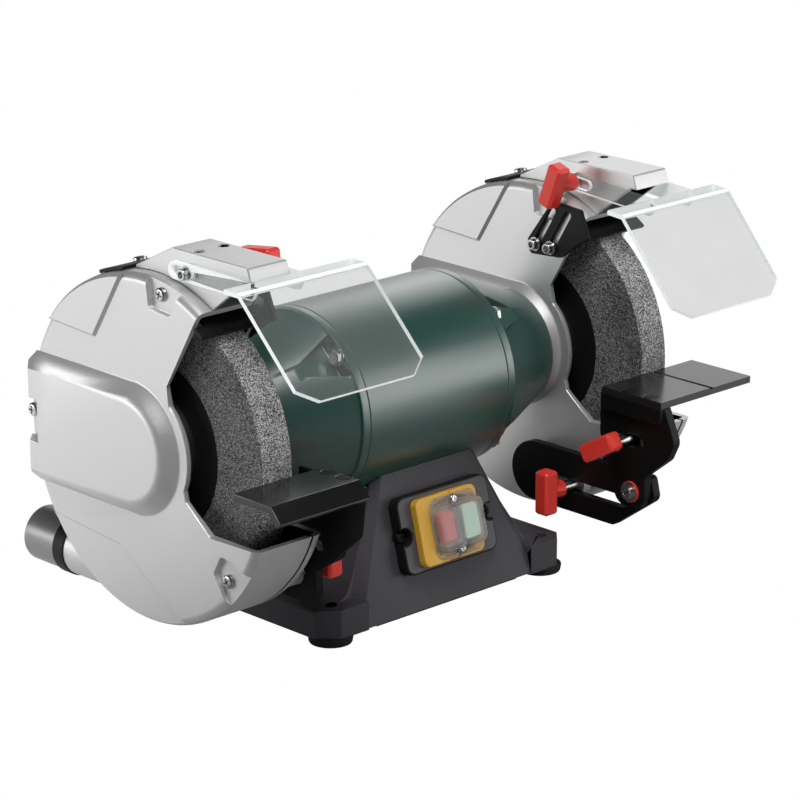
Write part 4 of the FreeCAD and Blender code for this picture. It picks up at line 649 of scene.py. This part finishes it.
# Knobs: faceted T wing on a tapered hub, with a steel stud
knob = {
    "width": 0.0125,
    "chamfer": 0.0019,
    "soft": 0.0004,
    "softAngle": 20,
    "hubSides": 12,
    "hubFoot": 0.0064,
    "hubTop": 0.0054,
    "hubSink": 0.001,  # hub's end inside the wing
    "studSides": 32,
    "studSink": 0.0006,
    "studPoint": 0.0005,
    "studTaper": 0.0006,
}
knobMeasure = {"wing": 0.009, "hub": (0.006, 0.007), "tips": 0.004, "end": 0.0005}  # distances from the axis
knobNodes = {}
for side in ("left", "right"):
    for kind in ("arm", "slot", "shield"):
        knobNodes[f"{side}_{kind}_knob"] = (f"{side}{kind.capitalize()}Knob", f"{side}_{kind}_knob")


def measureKnob(node):
    # axis spot, wing direction and the steps along the axis
    points = looseParts(node)[0]
    low, high = points.min(0), points.max(0)
    middle = (low[1:] + high[1:]) / 2
    offset = points[:, 1:] - middle
    reach = np.hypot(offset[:, 0], offset[:, 1])
    wing = points[reach > knobMeasure["wing"]]
    outward = 1 if wing[:, 0].mean() > (low[0] + high[0]) / 2 else -1
    far = offset[reach > reach.max() - knobMeasure["tips"]]
    spread = far.T @ far
    direction = np.linalg.eigh(spread)[1][:, 1]
    turn = math.atan2(direction[1], direction[0])
    wingStart = wing[:, 0].min() if outward > 0 else wing[:, 0].max()
    wingEnd = wing[:, 0].max() if outward > 0 else wing[:, 0].min()
    tip = low[0] if outward > 0 else high[0]
    stud = reach[np.abs(points[:, 0] - tip) < knobMeasure["end"]].max()
    hubLeast, hubMost = knobMeasure["hub"]
    seats = points[(reach > hubLeast) & (reach < hubMost)][:, 0]
    seat = seats.min() if outward > 0 else seats.max()
    return {
        "middle": middle, "outward": outward, "turn": turn, "stud": stud, "seat": seat,
        "hubLength": abs(wingStart - seat), "wing": abs(wingEnd - wingStart), "studLength": abs(seat - tip),
        "long": 2 * reach.max(),
    }


for node, (name, body) in knobNodes.items():
    size = measureKnob(node)
    hubEnd = size["hubLength"] + size["wing"]
    grip = addBlock(name, (size["long"], knob["width"], size["wing"]), (0, 0, hubEnd - size["wing"] / 2))
    editMode(grip, "EDGE")
    bpy.ops.mesh.select_all(action="SELECT")
    bpy.ops.mesh.bevel(offset=knob["chamfer"], segments=1)
    hubRings = [(0, knob["hubFoot"]), (size["hubLength"] + knob["hubSink"], knob["hubTop"])]
    hub = turnRings("hub", hubRings, knob["hubSides"])
    carve(grip, hub, "UNION")
    roundEdges(grip, knob["soft"], 2, knob["softAngle"])
    stud = turnRings("stud", [
        (knob["studSink"], size["stud"]),
        (knob["studPoint"] - size["studLength"], size["stud"]),
        (-size["studLength"], size["stud"] - knob["studTaper"]),
    ], knob["studSides"])
    smoothFaces(stud)
    grip.data.materials.append(knobRed)
    stud.data.materials.append(blackSteel if node == "left_slot_knob" else brightSteel)
    whole = joinPieces([grip, stud], name)
    spin = Matrix.Rotation(size["turn"], 4, "Z")
    # knob axis Z goes to the outward X direction, wing X to the side view
    toSide = Matrix(((0, 0, size["outward"], 0), (1, 0, 0, 0), (0, 1, 0, 0), (0, 0, 0, 1)))
    place = Matrix.Translation((size["seat"], size["middle"][0], size["middle"][1]))
    turned = place @ toSide @ spin
    whole.data.transform(turned)
    if turned.determinant() < 0:
        whole.data.flip_normals()
    finishPiece(whole, body, "red", None, node)
print("knobs ready")


# Screws: modelled once, then set at every place the frame holds one
screwShape = {
    "shank": 0.003,
    "washer": 0.0011,
    "socketRound": 0.0002,
    "hexRound": 0.0003,
    "blackRadius": 0.0037,  # larger switch screws are black
}


def measureScrew(points):
    middle = points.mean(0)
    axis = np.linalg.eigh(np.cov((points - middle).T))[1][:, 2]
    along = (points - middle) @ axis
    reach = np.linalg.norm((points - middle) - np.outer(along, axis), axis=1)
    head = reach > reach.max() * 0.9
    if along[head].mean() < along.mean():
        axis, along = -axis, -along
    seat = along[head].min()
    centre = middle + axis * seat
    ring = points[head]
    side = ring - np.outer((ring - centre) @ axis, axis)
    centre = side.mean(0) - axis * (side.mean(0) @ axis) + axis * ((middle @ axis) + seat)
    return {
        "seat": Vector(centre), "axis": Vector(axis), "radius": reach[head].max(),
        "height": along.max() - seat,
    }


def crossHead(name, radius, height):
    shank = radius * 0.52
    rings = [(-screwShape["shank"], shank), (0, shank), (0, radius * 0.97), (height * 0.12, radius)]
    for step in (0.3, 0.55, 0.8, 1.0):
        rings.append((height * (0.35 + 0.65 * math.sin(step * math.pi / 2)), radius * math.cos(step * 1.05)))
    head = turnRings(name, rings, 40)
    for turn in (0, 90):
        slit = addBlock("slit", (radius * 1.15, radius * 0.26, height * 1.1), (0, 0, height))
        slit.data.transform(Matrix.Rotation(math.radians(turn), 4, "Z"))
        carve(head, slit)
    smoothFaces(head, 35)
    return head


def socketHead(name, radius, height):
    washer = screwShape["washer"]
    rings = [
        (-screwShape["shank"], radius * 0.5), (0, radius * 0.5), (0, radius * 1.1), (washer, radius * 1.1),
        (washer, radius * 0.86), (height * 0.88, radius * 0.86), (height, radius * 0.76),
    ]
    head = turnRings(name, rings, 48)
    socket = turnRings("socket", [(height * 0.4, radius * 0.5), (height * 1.2, radius * 0.5)], 6)
    carve(head, socket)
    roundEdges(head, screwShape["socketRound"], 1)
    return head


def hexHead(name, radius, height):
    flats = radius * 0.96
    head = turnRings(name, [(height * 0.18, flats), (height * 0.9, flats), (height, radius * 0.8)], 6)
    disc = turnRings("disc", [
        (-screwShape["shank"], radius * 0.5), (0, radius * 0.5), (0, radius * 1.05),
        (height * 0.2, radius * 1.05),
    ], 40)
    carve(head, disc, "UNION")
    roundEdges(head, screwShape["hexRound"])
    return head


def setScrews(node, name, body, slot, design, finishFor, turnStep=37):
    spots = [measureScrew(points) for points in looseParts(node)]
    designs = {}
    copies = []
    for number, spot in enumerate(spots):
        key = (round(spot["radius"], 4), round(spot["height"], 4))
        if key not in designs:
            designs[key] = design(name + str(len(designs)), spot["radius"], spot["height"])
        turn = Matrix.Rotation(math.radians(turnStep * number), 4, "Z")
        lean = Vector((0, 0, 1)).rotation_difference(spot["axis"]).to_matrix().to_4x4()
        screw = copyAt(designs[key], name, Matrix.Translation(spot["seat"]) @ lean @ turn)
        screw.data.materials.clear()
        screw.data.materials.append(finishFor(spot))
        copies.append(screw)
    for master in designs.values():
        bpy.data.objects.remove(master)
    whole = joinPieces(copies, name)
    return finishPiece(whole, body, slot, None, node)


setScrews("pan_head_screws", "panHeadScrews", "frame", "steel", crossHead, lambda spot: brightSteel)
setScrews("socket_bolts", "socketBolts", "frame", "steel", socketHead, lambda spot: brightSteel)
setScrews("hex_screws", "hexScrews", "frame", "steel", hexHead, lambda spot: brightSteel)
setScrews("switch_screws", "switchScrews", "frame", "steel", crossHead,
          lambda spot: blackSteel if spot["radius"] > screwShape["blackRadius"] else brightSteel)
print("screws ready")

# Pieces inside the motor keep their frame shapes
inside = {
    "shaft": turnedSteel, "rotor_core": laminations, "bearing_inner_sets": brightSteel,
    "bearing_outer_rings": brightSteel, "stator_core": laminations, "stator_winding": copperWire,
}
for node, finish in inside.items():
    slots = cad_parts[node].data.materials
    slots.clear()
    slots.append(finish)

# Floor: white to the camera, and in reflections white behind and to the right, dark in front
floorLook = {
    "size": 30,
    "below": 0.0004,
    "pale": grey(0.8),
    "dusk": grey(0.1),
    "behind": {1: -0.1, 2: 0.4, 3: 0.06, 4: 1.0},
    "right": {1: 0.12, 2: 0.55, 3: 0.0, 4: 0.7},
}
smooth = {"interpolation_type": "SMOOTHSTEP"}
deselectAll()
bpy.ops.mesh.primitive_plane_add(size=floorLook["size"], location=(0, 0, -floorLook["below"]))
floor = bpy.context.object
floor.name = "floor"
floorFinish = Finish("floorFinish")
pathNode = floorFinish.tree.nodes.new("ShaderNodeLightPath")
seen, mirrored, through = [
    Wire(pathNode.outputs[ray]) for ray in ("Is Camera Ray", "Is Glossy Ray", "Is Transmission Ray")
]
along, across = [floorFinish.node("ShaderNodeSeparateXYZ", None, {0: floorFinish.place}, i) for i in (0, 1)]
behind = floorFinish.node("ShaderNodeMapRange", smooth, {0: across, **floorLook["behind"]})
right = floorFinish.node("ShaderNodeMapRange", smooth, {0: along, **floorLook["right"]})
bright = behind.calc("MAXIMUM", behind, right)
white = seen.calc("MAXIMUM", seen, through).calc("MAXIMUM", seen, mirrored * bright)
pale = floorFinish.node("ShaderNodeBsdfDiffuse", None, {"Color": floorLook["pale"]})
dusk = floorFinish.node("ShaderNodeBsdfDiffuse", None, {"Color": floorLook["dusk"]})
shaded = floorFinish.node("ShaderNodeMixShader", None, {0: mirrored * (1 - bright), 1: pale, 2: dusk})
glow = floorFinish.node("ShaderNodeEmission", None, {"Color": grey(1), "Strength": 1.0})
floor.data.materials.append(floorFinish.surface(
    floorFinish.node("ShaderNodeMixShader", None, {0: white, 1: shaded, 2: glow})
))

# Studio walls: pale near the horizon behind the object, darker above and round the camera
studio = {
    "rear": (0.69, 0.72, 0),
    "low": {1: 0.38, 2: 0.75, 3: 1.6, 4: 0.24},
    "away": {1: -0.8, 2: 0.1, 3: 0.34, 4: 0.85},
}
world = bpy.data.worlds.new("studio")
bpy.context.scene.world = world
world.use_nodes = True
walls = world.node_tree
direction = addNode(walls, "ShaderNodeTexCoord", output=0)
height = addNode(walls, "ShaderNodeSeparateXYZ", None, {0: direction}, 2)
rear = addNode(walls, "ShaderNodeVectorMath", {"operation": "DOT_PRODUCT"},
               {0: direction, 1: studio["rear"]}, 1)
low = addNode(walls, "ShaderNodeMapRange", smooth, {0: height, **studio["low"]})
away = addNode(walls, "ShaderNodeMapRange", smooth, {0: rear, **studio["away"]})
walls.links.new((low * away).socket, walls.nodes["Background"].inputs["Strength"])

lamps = {
    "keyBox": {"place": (-2.2, 1.7, 0.5), "aim": (0, 0, 0.12), "size": (1.7, 0.8), "power": 16},
    "fillBox": {"place": (-0.8, -0.9, 2.2), "aim": (0, 0, 0.15), "size": (1.2, 1.2), "power": 38},
    "rightBox": {"place": (1.75, 1.1, 1.6), "aim": (0, 0, 0.15), "size": (1.3, 0.9), "power": 6},
    "frontBox": {"place": (1.55, -1.66, 0.62), "aim": (0, 0, 0.14), "size": (1.4, 1.15), "power": 12},
    "backBox": {"place": (1.75, 1.65, 0.95), "aim": (0, 0, 0.15), "size": (1.6, 1.0), "power": 4.8},
}
for name, lamp in lamps.items():
    light = bpy.data.lights.new(name, "AREA")
    light.shape = "RECTANGLE"
    light.size, light.size_y = lamp["size"]
    light.energy = lamp["power"]
    holder = bpy.data.objects.new(name, light)
    bpy.context.scene.collection.objects.link(holder)
    holder.location = lamp["place"]
    aim = Vector(lamp["aim"]) - Vector(lamp["place"])
    holder.rotation_euler = aim.to_track_quat("-Z", "Y").to_euler()

view = {"place": (-1.54325, -1.62851, 0.82596), "aim": (0.02744, 0, 0.124), "lens": 156.03, "sensor": 36}
camera = bpy.data.cameras.new("photoView")
camera.lens = view["lens"]
camera.sensor_width = view["sensor"]
cameraHolder = bpy.data.objects.new("photoView", camera)
bpy.context.scene.collection.objects.link(cameraHolder)
cameraHolder.location = view["place"]
sight = Vector(view["aim"]) - Vector(view["place"])
cameraHolder.rotation_euler = sight.to_track_quat("-Z", "Y").to_euler()
bpy.context.scene.camera = cameraHolder
bpy.context.scene.view_settings.view_transform = "Standard"
print("stage ready")
